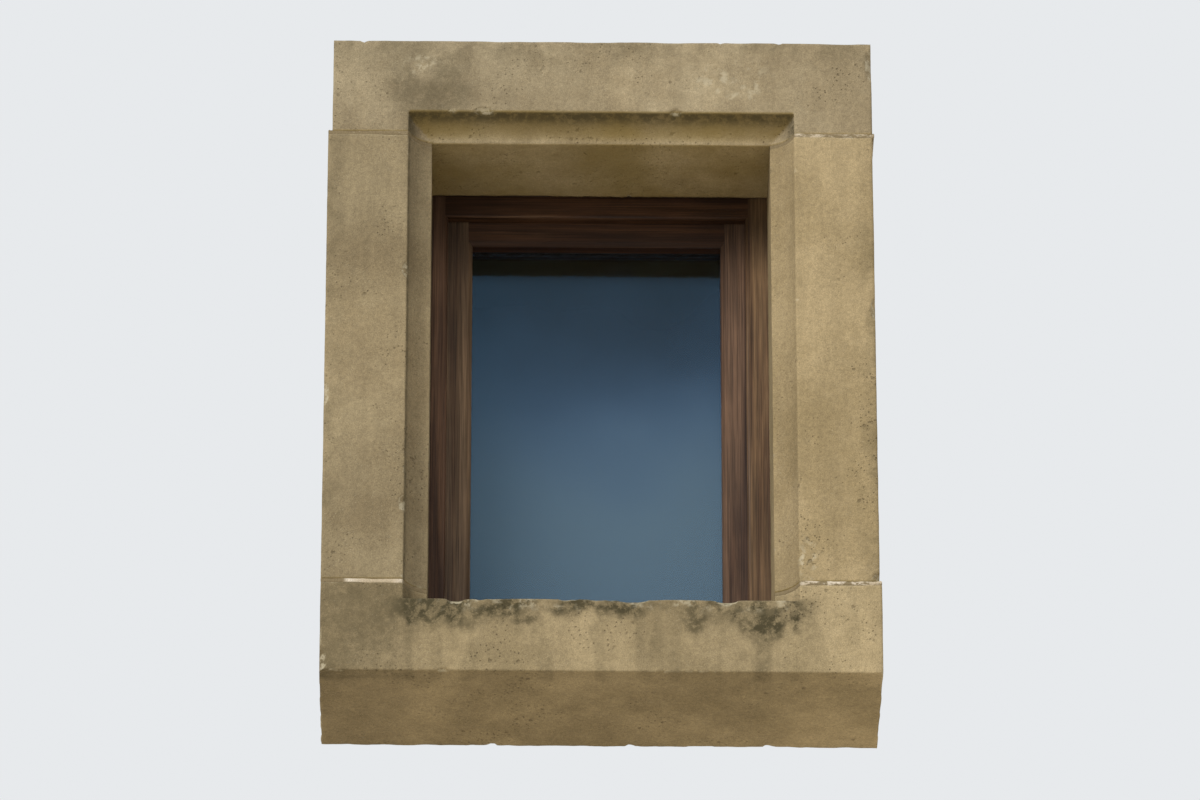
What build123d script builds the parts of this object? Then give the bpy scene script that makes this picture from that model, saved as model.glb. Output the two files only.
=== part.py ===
from build123d import *
import os
from math import acos, cos, pi, radians, sin, sqrt, tan

# Gable window: an inward-opening timber casement in a dressed stone surround.
# X runs right as seen from outside, Y runs inwards, Z runs up, in millimetres.
# The origin is the centre of the bed face under the stone sill.

# Stone surround
SURROUND_WIDTH = 1100.0
LINTEL_HEIGHT = 215.0
JAMB_HEIGHT = 1017.0
SILL_HEIGHT = 196.0
SILL_FRONT_HEIGHT = 160.0
SEAT_STEP = 12.0
BED_JOINT = 6.0
POINTING_SETBACK = 4.0
ARRIS_WEAR = 2.5
OPENING_WIDTH = 680.0
REVEAL_DEPTH = 255.0
CHAMFER = 48.0
CHAMFER_HOLLOW = 9.0
REBATE_SIDE = 30.0
REBATE_HEAD = 30.0
SEAT_WIDTH = 80.0

# Fixed timber frame, set a little left of the opening's centre
FRAME_OFFSET = -6.0
BEDDING = 5.0
FRAME_DEPTH = 60.0
FRAME_LAP = 18.0
FRAME_SIGHT = 38.0
HEAD_SIGHT = 47.0
FRAME_MOULD = 6.0
STOP_DEPTH = 18.0
STOP_LAP = 14.0
SILL_RAIL_FLOOR = 30.0
SILL_NOSE = 22.0
SILL_NOSE_HEIGHT = 20.0
SILL_NOSE_ROUND = 4.0
SILL_NOSE_CLEARANCE = 2.0
SILL_WASH_RISE = 14.0
UPSTAND_SETBACK = 4.0
DRIP_RADIUS = 3.0
DRIP_SETBACK = 8.0
GROOVE_WIDTH = 6.0
GROOVE_DEPTH = 6.0
GROOVE_SETBACK = 6.0
WEEP_RADIUS = 3.0
WEEP_SPACING = 300.0
TENON_LENGTH = 32.0
TENON_THICKNESS = 14.0
TENON_MARGIN = 10.0

# Opening sash
SASH_GAP = 4.0
SEAL_GAP = 2.0
SASH_THICKNESS = 64.0
LIP_OVERLAP = 12.0
LIP_GAP = 1.0
STILE_SIGHT = 50.0
TOP_RAIL_SIGHT = 52.0
BOTTOM_RAIL_HEIGHT = 65.0
SASH_MOULD = 8.0
SASH_EDGE_ROUND = 3.0
GLASS_REBATE = 15.0
GLASS_FRONT_LIP = 30.0

# Glazing
PANE = 4.0
CAVITY = 12.0
GLAZING_TAPE = 3.0
GLASS_CLEARANCE = 3.0
EDGE_SEAL = 4.0
SPACER_WIDTH = 7.0
BLOCK_HEIGHT = 5.0
BLOCK_LENGTH = 60.0
BEAD_BEVEL = 6.0

# Weather bar and seal
BAR_PROJECTION = 28.0
BAR_HEIGHT = 41.0
BAR_NOSE = 9.0
BAR_CLEARANCE = 4.0
BAR_END_GAP = 6.0
SEAL_WIDTH = 6.0
SEAL_SETBACK = 2.0
SEAL_STEM_WIDTH = 3.0
SEAL_STEM_DEPTH = 5.0
SEAL_SOFT_CLEARANCE = 0.3

# Hinges
HINGE_INSET = 140.0
KNUCKLE_RADIUS = 7.5
KNUCKLE_LENGTH = 34.0
KNUCKLE_TIP = 5.0
KNUCKLE_GAP = 0.5
KNUCKLE_CLEARANCE = 1.0
HINGE_PIN_RADIUS = 3.5
HINGE_PIN_LENGTH = 50.0
RUNNING_FIT = 0.05
SHANK_RADIUS = 3.5
SHANK_LENGTH = 36.0
SHANK_DROP = 16.0

# Cremone bolt
HANDLE_TURN = 90.0
PINION_TEETH = 12
TOOTH_MODULE = 1.7
PRESSURE_ANGLE = 25.0
BACKLASH = 0.2
ROOT_CLEARANCE = 0.25
FACE_WIDTH = 8.0
FLANK_STEPS = 3
SPINDLE_RADIUS = 4.5
PIVOT_RADIUS = 3.0
SQUARE = 7.0
RACK_BACK = 4.5
RACK_SPARE_TEETH = 2
RACK_ARM_START = 14.0
RACK_ARM = 8.0
ROD_RADIUS = 5.0
ROD_TIP = 1.5
ROD_END_GAP = 3.0
PLATE = 2.0
CASE_WIDTH = 44.0
CASE_MARGIN = 8.5
CASE_DEPTH = 17.0
CASE_WALL = 2.5
CASE_CORNER = 8.0
CASE_ROUND = 2.0
PLATE_EAR = 16.0
GUIDE_WIDTH = 38.0
GUIDE_HEIGHT = 16.0
GUIDE_WALL = 3.0
GUIDE_INSET = 60.0
KEEP_WIDTH = 46.0
KEEP_PLATE = 3.0
KEEP_BOSS = 24.0
KEEP_ENTRY = 1.5
KEEP_INSET = 2.5
ROSE_RADIUS = 13.0
ROSE_LENGTH = 7.0
NECK_RADIUS = 6.5
NECK_LENGTH = 20.0
LEVER_LENGTH = 78.0
LEVER_RADIUS = 6.5
LEVER_END_RADIUS = 8.5

# Fixing straps and screws
STRAP_THICKNESS = 3.0
STRAP_WIDTH = 30.0
STRAP_ON_TIMBER = 22.0
STRAP_ON_STONE = 56.0
STRAP_INSET = 240.0
STRAP_SCREW_MARGIN = 12.0
STRAP_STONE_PITCH = 28.0
SCREW_HEAD_RADIUS = 3.6
SCREW_RADIUS = 1.8
SCREW_LENGTH = 24.0
SLOT_WIDTH = 0.8
SLOT_DEPTH = 0.7

# Planes and levels worked out from the sizes above
STONE_DEPTH = REVEAL_DEPTH + BEDDING + FRAME_DEPTH
FACE_Y = -STONE_DEPTH / 2
BACK_Y = STONE_DEPTH / 2
NIB_BACK_Y = FACE_Y + REVEAL_DEPTH
FRAME_Y = NIB_BACK_Y + BEDDING
FRAME_BACK_Y = FRAME_Y + FRAME_DEPTH
SEAT_Y = BACK_Y - SEAT_WIDTH
STOP_Y = FRAME_Y + STOP_DEPTH
SASH_Y = STOP_Y + SEAL_GAP
SASH_BACK_Y = SASH_Y + SASH_THICKNESS
LIP_Y = FRAME_BACK_Y + LIP_GAP
GLASS_REBATE_Y = SASH_Y + GLASS_FRONT_LIP
OUTER_PANE_Y = GLASS_REBATE_Y + GLAZING_TAPE
SPACER_Y = OUTER_PANE_Y + PANE
INNER_PANE_Y = SPACER_Y + CAVITY
BEAD_Y = INNER_PANE_Y + PANE

HALF_SURROUND = SURROUND_WIDTH / 2
HALF_OPENING = OPENING_WIDTH / 2
JAMB_BASE_Z = SILL_HEIGHT + BED_JOINT
JAMB_TOP_Z = JAMB_BASE_Z + JAMB_HEIGHT
SOFFIT_Z = JAMB_TOP_Z + BED_JOINT
TOP_Z = SOFFIT_Z + LINTEL_HEIGHT
SILL_SEAT_FRONT_Z = SILL_HEIGHT - SEAT_STEP

FRAME_HALF_SIGHT = HALF_OPENING - FRAME_SIGHT
FRAME_HALF_REBATE = FRAME_HALF_SIGHT + STOP_LAP
FRAME_HALF_WIDTH = HALF_OPENING + FRAME_LAP
FRAME_BASE_Z = SILL_HEIGHT + BEDDING
FRAME_FLOOR_Z = FRAME_BASE_Z + SILL_RAIL_FLOOR
UPSTAND_Z = FRAME_FLOOR_Z + STOP_LAP
FRAME_HEAD_Z = SOFFIT_Z - HEAD_SIGHT
FRAME_HEAD_REBATE_Z = FRAME_HEAD_Z + STOP_LAP
FRAME_TOP_Z = SOFFIT_Z + FRAME_LAP

SASH_HALF_WIDTH = FRAME_HALF_REBATE - SASH_GAP
LIP_HALF_WIDTH = FRAME_HALF_REBATE + LIP_OVERLAP
SASH_BASE_Z = FRAME_FLOOR_Z + SASH_GAP
SASH_TOP_Z = FRAME_HEAD_REBATE_Z - SASH_GAP
LIP_BASE_Z = FRAME_FLOOR_Z - LIP_OVERLAP
LIP_TOP_Z = FRAME_HEAD_REBATE_Z + LIP_OVERLAP
GLASS_HALF_SIGHT = FRAME_HALF_SIGHT - STILE_SIGHT
GLASS_TOP_Z = FRAME_HEAD_Z - TOP_RAIL_SIGHT
GLASS_BASE_Z = SASH_BASE_Z + BOTTOM_RAIL_HEIGHT
GLASS_HALF_REBATE = GLASS_HALF_SIGHT + GLASS_REBATE
GLASS_REBATE_TOP_Z = GLASS_TOP_Z + GLASS_REBATE
GLASS_REBATE_BASE_Z = GLASS_BASE_Z - GLASS_REBATE
PANE_HALF_WIDTH = GLASS_HALF_REBATE - GLASS_CLEARANCE
PANE_TOP_Z = GLASS_REBATE_TOP_Z - GLASS_CLEARANCE
PANE_BASE_Z = GLASS_REBATE_BASE_Z + BLOCK_HEIGHT

PIVOT_X = FRAME_OFFSET - LIP_HALF_WIDTH - KNUCKLE_RADIUS - KNUCKLE_CLEARANCE
PIVOT_Y = FRAME_BACK_Y + KNUCKLE_RADIUS + KNUCKLE_CLEARANCE
HINGE_LEVELS = {"lower": SASH_BASE_Z + HINGE_INSET, "upper": SASH_TOP_Z - HINGE_INSET}

LOCK_X = FRAME_OFFSET + (GLASS_HALF_REBATE + LIP_HALF_WIDTH) / 2
HANDLE_Z = (SASH_BASE_Z + SASH_TOP_Z) / 2
PLATE_Y = SASH_BACK_Y + PLATE
ROD_Y = PLATE_Y + ROD_RADIUS
CASE_Y = PLATE_Y + CASE_DEPTH
PITCH = pi * TOOTH_MODULE
PITCH_RADIUS = TOOTH_MODULE * PINION_TEETH / 2
ROD_THROW = radians(HANDLE_TURN) * PITCH_RADIUS
CASE_HEIGHT = 2 * (RACK_ARM_START + RACK_ARM + ROD_THROW + CASE_MARGIN + CASE_WALL)
KEEP_UPPER_Z = LIP_TOP_Z + ROD_END_GAP
KEEP_LOWER_Z = LIP_BASE_Z - ROD_END_GAP
BIG = SURROUND_WIDTH


def block(size_from, size_to, mode=Mode.ADD):
    """A box between two corners, added to or cut from the open part."""
    size = [high - low for low, high in zip(size_from, size_to)]
    with Locations(size_from):
        Box(*size, align=Align.MIN, mode=mode)


def upright(x, y, z, radius, height, mode=Mode.ADD):
    """A vertical cylinder that starts at a point."""
    with Locations((x, y, z)):
        Cylinder(radius, height, align=(Align.CENTER, Align.CENTER, Align.MIN), mode=mode)


def inward(x, y, z, radius, depth, mode=Mode.ADD):
    """A cylinder along Y that starts at a point and runs towards the room."""
    with Locations(Location((x, y, z), (-90, 0, 0))):
        Cylinder(radius, depth, align=(Align.CENTER, Align.CENTER, Align.MIN), mode=mode)


def save(piece, name):
    """Label a finished piece and write it under its node's name."""
    piece.part.label = name
    export_step(piece.part, f"parts/{name}.step")


os.makedirs("parts", exist_ok=True)

# The opening in the stones: a hollow-chamfered slot in plan and a weathered, stepped slot in section
chamfer_middle = CHAMFER / 2 + CHAMFER_HOLLOW / sqrt(2)

with BuildPart() as opening_void:
    with BuildSketch(Plane.XY):
        for side in (1, -1):
            with BuildLine():
                hollow = ThreePointArc(
                    (side * (HALF_OPENING + CHAMFER), FACE_Y),
                    (side * (HALF_OPENING + chamfer_middle), FACE_Y + chamfer_middle),
                    (side * HALF_OPENING, FACE_Y + CHAMFER),
                )
                Polyline(
                    hollow @ 1,
                    (side * HALF_OPENING, NIB_BACK_Y),
                    (side * (HALF_OPENING + REBATE_SIDE), NIB_BACK_Y),
                    (side * (HALF_OPENING + REBATE_SIDE), BACK_Y),
                    (0, BACK_Y),
                    (0, FACE_Y),
                    hollow @ 0,
                )
            make_face()
    extrude(amount=TOP_Z)
    with BuildSketch(Plane.YZ.offset(-BIG / 2)):
        with BuildLine():
            hollow = ThreePointArc(
                (FACE_Y, SOFFIT_Z + CHAMFER),
                (FACE_Y + chamfer_middle, SOFFIT_Z + chamfer_middle),
                (FACE_Y + CHAMFER, SOFFIT_Z),
            )
            Polyline(
                hollow @ 1,
                (NIB_BACK_Y, SOFFIT_Z),
                (NIB_BACK_Y, SOFFIT_Z + REBATE_HEAD),
                (BACK_Y, SOFFIT_Z + REBATE_HEAD),
                (BACK_Y, SILL_HEIGHT),
                (SEAT_Y, SILL_HEIGHT),
                (SEAT_Y, SILL_SEAT_FRONT_Z),
                (FACE_Y, SILL_FRONT_HEIGHT),
                hollow @ 0,
            )
        make_face()
    extrude(amount=BIG, mode=Mode.INTERSECT)


def stone_block(x_from, x_to, z_from, z_to):
    """One dressed block with worn outer arrises, cut by the opening."""
    with BuildPart() as stone:
        block((x_from, FACE_Y, z_from), (x_to, BACK_Y, z_to))
        face_edges = stone.edges().filter_by_position(Axis.Y, FACE_Y, FACE_Y)
        chamfer(face_edges, length=ARRIS_WEAR)
        add(opening_void.part, mode=Mode.SUBTRACT)
    return stone


def strap_levels():
    """The two heights at which straps tie each frame jamb to its stone."""
    return (JAMB_BASE_Z + STRAP_INSET, JAMB_TOP_Z - STRAP_INSET)


def strap_edges(side):
    """The strap's ends, on the timber and on the stone."""
    timber_end = FRAME_OFFSET + side * FRAME_HALF_WIDTH - side * STRAP_ON_TIMBER
    stone_end = side * (HALF_OPENING + REBATE_SIDE + STRAP_ON_STONE)
    return timber_end, stone_end


def strap_screw_positions(side):
    """One wood screw and two stone screws for each strap."""
    timber_end, stone_end = strap_edges(side)
    outer = stone_end - side * STRAP_SCREW_MARGIN
    return (timber_end + side * STRAP_SCREW_MARGIN, outer - side * STRAP_STONE_PITCH, outer)


def screw_cone(x, head_y, z, clearance, mode):
    """A countersunk head whose wide end lies flush at a plane."""
    with Locations(Location((x, head_y, z), (90, 0, 0))):
        Cone(
            SCREW_HEAD_RADIUS + clearance,
            clearance,
            SCREW_HEAD_RADIUS,
            align=(Align.CENTER, Align.CENTER, Align.MIN),
            mode=mode,
        )


def cut_screws(points, head_y):
    """Holes with countersinks for screws that are driven outwards from the room side."""
    for x, z in points:
        screw_cone(x, head_y, z, RUNNING_FIT, Mode.SUBTRACT)
        inward(x, head_y - SCREW_LENGTH, z, SCREW_RADIUS + RUNNING_FIT, SCREW_LENGTH, Mode.SUBTRACT)


def add_screws(points, head_y):
    """Slotted countersunk screws with their heads flush at a plane."""
    for x, z in points:
        screw_cone(x, head_y, z, 0, Mode.ADD)
        inward(x, head_y - SCREW_LENGTH, z, SCREW_RADIUS, SCREW_LENGTH)
        slot_half = SCREW_HEAD_RADIUS + SLOT_DEPTH
        block(
            (x - slot_half, head_y - SLOT_DEPTH, z - SLOT_WIDTH / 2),
            (x + slot_half, head_y + SLOT_DEPTH, z + SLOT_WIDTH / 2),
            Mode.SUBTRACT,
        )


STRAP_BACK_Y = BACK_Y + STRAP_THICKNESS
strap_points = {
    side: [(x, z) for z in strap_levels() for x in strap_screw_positions(side)] for side in (1, -1)
}

stone_lintel = stone_block(-HALF_SURROUND, HALF_SURROUND, SOFFIT_Z, TOP_Z)
stone_sill = stone_block(-HALF_SURROUND, HALF_SURROUND, 0, SILL_HEIGHT)
stone_jamb_left = stone_block(-HALF_SURROUND, -HALF_OPENING, JAMB_BASE_Z, JAMB_TOP_Z)
stone_jamb_right = stone_block(HALF_OPENING, HALF_SURROUND, JAMB_BASE_Z, JAMB_TOP_Z)
with stone_jamb_left:
    cut_screws(strap_points[-1], STRAP_BACK_Y)
with stone_jamb_right:
    cut_screws(strap_points[1], STRAP_BACK_Y)

save(stone_lintel, "stone_lintel")
save(stone_sill, "stone_sill")
save(stone_jamb_left, "stone_jamb_left")
save(stone_jamb_right, "stone_jamb_right")


def mortar_bed(side, base_z):
    """Pointing between two stones, set back from their faces."""
    with BuildPart() as bed:
        x_from, x_to = sorted((side * HALF_OPENING, side * HALF_SURROUND))
        block((x_from, FACE_Y, base_z), (x_to, BACK_Y, base_z + BED_JOINT))
        add(opening_void.part, mode=Mode.SUBTRACT)
        joint_plan = bed.faces().sort_by(Axis.Z)[-1]
    with BuildPart() as pointed:
        with BuildSketch(Plane.XY.offset(base_z)):
            add(joint_plan.moved(Location((0, 0, -BED_JOINT))))
            offset(amount=-POINTING_SETBACK, kind=Kind.INTERSECTION)
        extrude(amount=BED_JOINT)
    return pointed


for bed_name, bed_side, bed_z in (
    ("mortar_bed_lower_left", -1, SILL_HEIGHT),
    ("mortar_bed_lower_right", 1, SILL_HEIGHT),
    ("mortar_bed_upper_left", -1, JAMB_TOP_Z),
    ("mortar_bed_upper_right", 1, JAMB_TOP_Z),
):
    save(mortar_bed(bed_side, bed_z), bed_name)


# Timber frame: jambs run full height, head and sill are coped and tenoned between them
def cut_seal_groove():
    """The groove that holds the weather seal's stem, all round the stop."""
    add(seal_stem.part, mode=Mode.SUBTRACT)


def frame_tenon(side, z_from, z_to, mode):
    """A stub tenon at a frame corner, or its mortise."""
    near = FRAME_OFFSET + side * FRAME_HALF_REBATE
    far = near + side * TENON_LENGTH
    x_from, x_to = sorted((near, far))
    middle = (STOP_Y + FRAME_BACK_Y) / 2
    block(
        (x_from, middle - TENON_THICKNESS / 2, z_from),
        (x_to, middle + TENON_THICKNESS / 2, z_to),
        mode,
    )


HEAD_TENON = (FRAME_HEAD_REBATE_Z + TENON_MARGIN, FRAME_TOP_Z - TENON_MARGIN)
SILL_TENON = (FRAME_BASE_Z + TENON_MARGIN, FRAME_FLOOR_Z - GROOVE_DEPTH)

seal_half_in = FRAME_HALF_SIGHT + SEAL_SETBACK
seal_half_out = seal_half_in + SEAL_WIDTH
seal_base_z = UPSTAND_Z - SEAL_SETBACK
seal_top_z = FRAME_HEAD_Z + SEAL_SETBACK
stem_margin = (SEAL_WIDTH - SEAL_STEM_WIDTH) / 2


def ring(y_from, y_to, half_out, half_in, z_out, z_in):
    """A rectangular ring about the timber's centre line, as an open part's material."""
    base_out, top_out = z_out
    base_in, top_in = z_in
    block((FRAME_OFFSET - half_out, y_from, base_out), (FRAME_OFFSET + half_out, y_to, top_out))
    block(
        (FRAME_OFFSET - half_in, y_from, base_in),
        (FRAME_OFFSET + half_in, y_to, top_in),
        Mode.SUBTRACT,
    )


with BuildPart() as seal_stem:
    ring(
        STOP_Y - SEAL_STEM_DEPTH,
        STOP_Y,
        seal_half_out - stem_margin,
        seal_half_in + stem_margin,
        (seal_base_z - SEAL_WIDTH + stem_margin, seal_top_z + SEAL_WIDTH - stem_margin),
        (seal_base_z - stem_margin, seal_top_z + stem_margin),
    )

with BuildPart() as weather_seal:
    ring(
        STOP_Y,
        SASH_Y - SEAL_SOFT_CLEARANCE,
        seal_half_out,
        seal_half_in,
        (seal_base_z - SEAL_WIDTH, seal_top_z + SEAL_WIDTH),
        (seal_base_z, seal_top_z),
    )
    add(seal_stem.part)
save(weather_seal, "weather_seal")


def frame_jamb(side):
    """One full-height jamb of the fixed frame, before its mortises."""
    outer_x = FRAME_OFFSET + side * FRAME_HALF_WIDTH
    sight_x = FRAME_OFFSET + side * FRAME_HALF_SIGHT
    rebate_x = FRAME_OFFSET + side * FRAME_HALF_REBATE
    with BuildPart() as jamb:
        with BuildSketch(Plane.XY.offset(FRAME_BASE_Z)):
            with BuildLine():
                mould = RadiusArc(
                    (sight_x + side * FRAME_MOULD, FRAME_Y),
                    (sight_x, FRAME_Y + FRAME_MOULD),
                    side * FRAME_MOULD,
                )
                Polyline(
                    mould @ 1,
                    (sight_x, STOP_Y),
                    (rebate_x, STOP_Y),
                    (rebate_x, FRAME_BACK_Y),
                    (outer_x, FRAME_BACK_Y),
                    (outer_x, FRAME_Y),
                    mould @ 0,
                )
            make_face()
        extrude(amount=FRAME_TOP_Z - FRAME_BASE_Z)
    return jamb


frame_jamb_left = frame_jamb(-1)
frame_jamb_right = frame_jamb(1)

with BuildPart() as frame_head:
    with BuildSketch(Plane.YZ.offset(FRAME_OFFSET - FRAME_HALF_REBATE)):
        with BuildLine():
            head_mould = RadiusArc(
                (FRAME_Y, FRAME_HEAD_Z + FRAME_MOULD),
                (FRAME_Y + FRAME_MOULD, FRAME_HEAD_Z),
                -FRAME_MOULD,
            )
            Polyline(
                head_mould @ 1,
                (STOP_Y, FRAME_HEAD_Z),
                (STOP_Y, FRAME_HEAD_REBATE_Z),
                (FRAME_BACK_Y, FRAME_HEAD_REBATE_Z),
                (FRAME_BACK_Y, FRAME_TOP_Z),
                (FRAME_Y, FRAME_TOP_Z),
                head_mould @ 0,
            )
        make_face()
    extrude(amount=2 * FRAME_HALF_REBATE)
    add(frame_jamb_left.part, mode=Mode.SUBTRACT)
    add(frame_jamb_right.part, mode=Mode.SUBTRACT)
    cut_seal_groove()
    for side in (1, -1):
        frame_tenon(side, *HEAD_TENON, Mode.ADD)

nose_top_z = FRAME_BASE_Z + SILL_NOSE_HEIGHT
groove_y = STOP_Y + GROOVE_SETBACK

with BuildPart() as frame_sill:
    with BuildSketch(Plane.YZ.offset(FRAME_OFFSET - FRAME_HALF_REBATE)):
        with BuildLine():
            Polyline(
                (FRAME_Y, FRAME_BASE_Z),
                (FRAME_Y, nose_top_z + SILL_WASH_RISE),
                (FRAME_Y + UPSTAND_SETBACK, nose_top_z + SILL_WASH_RISE),
                (FRAME_Y + UPSTAND_SETBACK, UPSTAND_Z),
                (STOP_Y, UPSTAND_Z),
                (STOP_Y, FRAME_FLOOR_Z),
                (groove_y, FRAME_FLOOR_Z),
                (groove_y, FRAME_FLOOR_Z - GROOVE_DEPTH),
                (groove_y + GROOVE_WIDTH, FRAME_FLOOR_Z - GROOVE_DEPTH),
                (groove_y + GROOVE_WIDTH, FRAME_FLOOR_Z),
                (FRAME_BACK_Y, FRAME_FLOOR_Z),
                (FRAME_BACK_Y, FRAME_BASE_Z),
                close=True,
            )
        make_face()
    extrude(amount=2 * FRAME_HALF_REBATE)
    add(frame_jamb_left.part, mode=Mode.SUBTRACT)
    add(frame_jamb_right.part, mode=Mode.SUBTRACT)
    cut_seal_groove()
    with BuildSketch(Plane.YZ.offset(-HALF_OPENING + SILL_NOSE_CLEARANCE)) as nose:
        with BuildLine():
            Polyline(
                (FRAME_Y, FRAME_BASE_Z),
                (FRAME_Y - SILL_NOSE, FRAME_BASE_Z),
                (FRAME_Y - SILL_NOSE, nose_top_z),
                (FRAME_Y, nose_top_z + SILL_WASH_RISE),
                close=True,
            )
        make_face()
        fillet(nose.vertices().sort_by(Axis.X)[:2].sort_by(Axis.Y)[-1], radius=SILL_NOSE_ROUND)
        with Locations((FRAME_Y - SILL_NOSE + DRIP_SETBACK, FRAME_BASE_Z)):
            Circle(DRIP_RADIUS, mode=Mode.SUBTRACT)
    extrude(amount=OPENING_WIDTH - 2 * SILL_NOSE_CLEARANCE)
    for weep_x in (-WEEP_SPACING / 2, WEEP_SPACING / 2):
        inward(
            FRAME_OFFSET + weep_x,
            FRAME_Y - SILL_NOSE,
            FRAME_FLOOR_Z - GROOVE_DEPTH + WEEP_RADIUS,
            WEEP_RADIUS,
            groove_y + WEEP_RADIUS - FRAME_Y + SILL_NOSE,
            Mode.SUBTRACT,
        )
    for side in (1, -1):
        frame_tenon(side, *SILL_TENON, Mode.ADD)


def hinge_shank_z(level, half):
    """Height of the screw-in shank of a hinge half."""
    return level + half * SHANK_DROP


for side, jamb in ((-1, frame_jamb_left), (1, frame_jamb_right)):
    with jamb:
        cut_seal_groove()
        frame_tenon(side, *HEAD_TENON, Mode.SUBTRACT)
        frame_tenon(side, *SILL_TENON, Mode.SUBTRACT)
        timber_points = [point for point in strap_points[side] if abs(point[0]) < FRAME_HALF_WIDTH]
        cut_screws(timber_points, STRAP_BACK_Y)

with frame_jamb_left:
    for level in HINGE_LEVELS.values():
        inward(
            PIVOT_X,
            FRAME_BACK_Y - SHANK_LENGTH,
            hinge_shank_z(level, -1),
            SHANK_RADIUS + RUNNING_FIT,
            SHANK_LENGTH,
            Mode.SUBTRACT,
        )

keep_height_upper = FRAME_TOP_Z - KEEP_UPPER_Z - KEEP_INSET
keep_height_lower = KEEP_LOWER_Z - FRAME_BASE_Z


def keep_screw_points(z_from, z_to):
    """Two screws, one each side of the keep's boss."""
    reach = (KEEP_WIDTH + KEEP_BOSS) / 4
    return [(LOCK_X - reach, (z_from + z_to) / 2), (LOCK_X + reach, (z_from + z_to) / 2)]


upper_keep_points = keep_screw_points(KEEP_UPPER_Z, KEEP_UPPER_Z + keep_height_upper)
lower_keep_points = keep_screw_points(KEEP_LOWER_Z - keep_height_lower, KEEP_LOWER_Z)
KEEP_BACK_Y = FRAME_BACK_Y + KEEP_PLATE
with frame_head:
    cut_screws(upper_keep_points, KEEP_BACK_Y)
with frame_jamb_right:
    cut_screws(upper_keep_points, KEEP_BACK_Y)
    cut_screws(lower_keep_points, KEEP_BACK_Y)
with frame_sill:
    cut_screws(lower_keep_points, KEEP_BACK_Y)

save(frame_jamb_left, "frame_jamb_left")
save(frame_jamb_right, "frame_jamb_right")
save(frame_head, "frame_head")
save(frame_sill, "frame_sill")

# Joint between stone and timber
with BuildPart() as bedding_mastic:
    mastic_half = FRAME_HALF_WIDTH - abs(FRAME_OFFSET)
    block((-mastic_half, NIB_BACK_Y, FRAME_BASE_Z), (mastic_half, FRAME_Y, FRAME_TOP_Z))
    block(
        (-HALF_OPENING - POINTING_SETBACK, NIB_BACK_Y, FRAME_BASE_Z),
        (HALF_OPENING + POINTING_SETBACK, FRAME_Y, SOFFIT_Z + POINTING_SETBACK),
        Mode.SUBTRACT,
    )
save(bedding_mastic, "bedding_mastic")

with BuildPart() as sill_bedding:
    block(
        (-HALF_OPENING + POINTING_SETBACK, SEAT_Y + POINTING_SETBACK, SILL_HEIGHT),
        (HALF_OPENING - POINTING_SETBACK, NIB_BACK_Y, FRAME_BASE_Z),
    )
    block(
        (FRAME_OFFSET - FRAME_HALF_WIDTH, NIB_BACK_Y, SILL_HEIGHT),
        (FRAME_OFFSET + FRAME_HALF_WIDTH, FRAME_BACK_Y - POINTING_SETBACK, FRAME_BASE_Z),
    )
save(sill_bedding, "sill_bedding")

with BuildPart() as perimeter_packing:
    pack_half = HALF_OPENING + REBATE_SIDE
    block(
        (-pack_half, FRAME_Y, SILL_HEIGHT),
        (pack_half, BACK_Y - POINTING_SETBACK, SOFFIT_Z + REBATE_HEAD),
    )
    block(
        (FRAME_OFFSET - FRAME_HALF_WIDTH, FRAME_Y, SILL_HEIGHT),
        (FRAME_OFFSET + FRAME_HALF_WIDTH, BACK_Y, FRAME_TOP_Z),
        Mode.SUBTRACT,
    )
save(perimeter_packing, "perimeter_packing")


# Sash: stiles run full height, rails are coped and tenoned between them
def sash_stile(side):
    """One full-height stile; its body stops short of the lip at top and bottom."""
    sight_x = FRAME_OFFSET + side * GLASS_HALF_SIGHT
    rebate_x = FRAME_OFFSET + side * GLASS_HALF_REBATE
    body_x = FRAME_OFFSET + side * SASH_HALF_WIDTH
    lip_x = FRAME_OFFSET + side * LIP_HALF_WIDTH
    with BuildPart() as stile:
        with BuildSketch(Plane.XY.offset(LIP_BASE_Z)):
            with BuildLine():
                rounding = RadiusArc(
                    (lip_x, SASH_BACK_Y - SASH_EDGE_ROUND),
                    (lip_x - side * SASH_EDGE_ROUND, SASH_BACK_Y),
                    -side * SASH_EDGE_ROUND,
                )
                Polyline(
                    rounding @ 1,
                    (rebate_x, SASH_BACK_Y),
                    (rebate_x, GLASS_REBATE_Y),
                    (sight_x, GLASS_REBATE_Y),
                    (sight_x, SASH_Y + SASH_MOULD),
                    (sight_x + side * SASH_MOULD, SASH_Y),
                    (body_x, SASH_Y),
                    (body_x, LIP_Y),
                    (lip_x, LIP_Y),
                    rounding @ 0,
                )
            make_face()
        extrude(amount=LIP_TOP_Z - LIP_BASE_Z)
        for z_from, z_to in ((LIP_BASE_Z, SASH_BASE_Z), (SASH_TOP_Z, LIP_TOP_Z)):
            block((-BIG / 2, SASH_Y, z_from), (BIG / 2, LIP_Y, z_to), Mode.SUBTRACT)
    return stile


def sash_tenon(side, z_from, z_to, mode):
    """A stub tenon at a sash corner, or its mortise."""
    near = FRAME_OFFSET + side * GLASS_HALF_REBATE
    far = near + side * TENON_LENGTH
    x_from, x_to = sorted((near, far))
    y_from = GLASS_REBATE_Y
    block((x_from, y_from, z_from), (x_to, y_from + TENON_THICKNESS, z_to), mode)


TOP_TENON = (GLASS_REBATE_TOP_Z + TENON_MARGIN, SASH_TOP_Z - TENON_MARGIN)
BOTTOM_TENON = (SASH_BASE_Z + TENON_MARGIN, GLASS_REBATE_BASE_Z - TENON_MARGIN)

sash_hinge_stile = sash_stile(-1)
sash_lock_stile = sash_stile(1)


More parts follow.
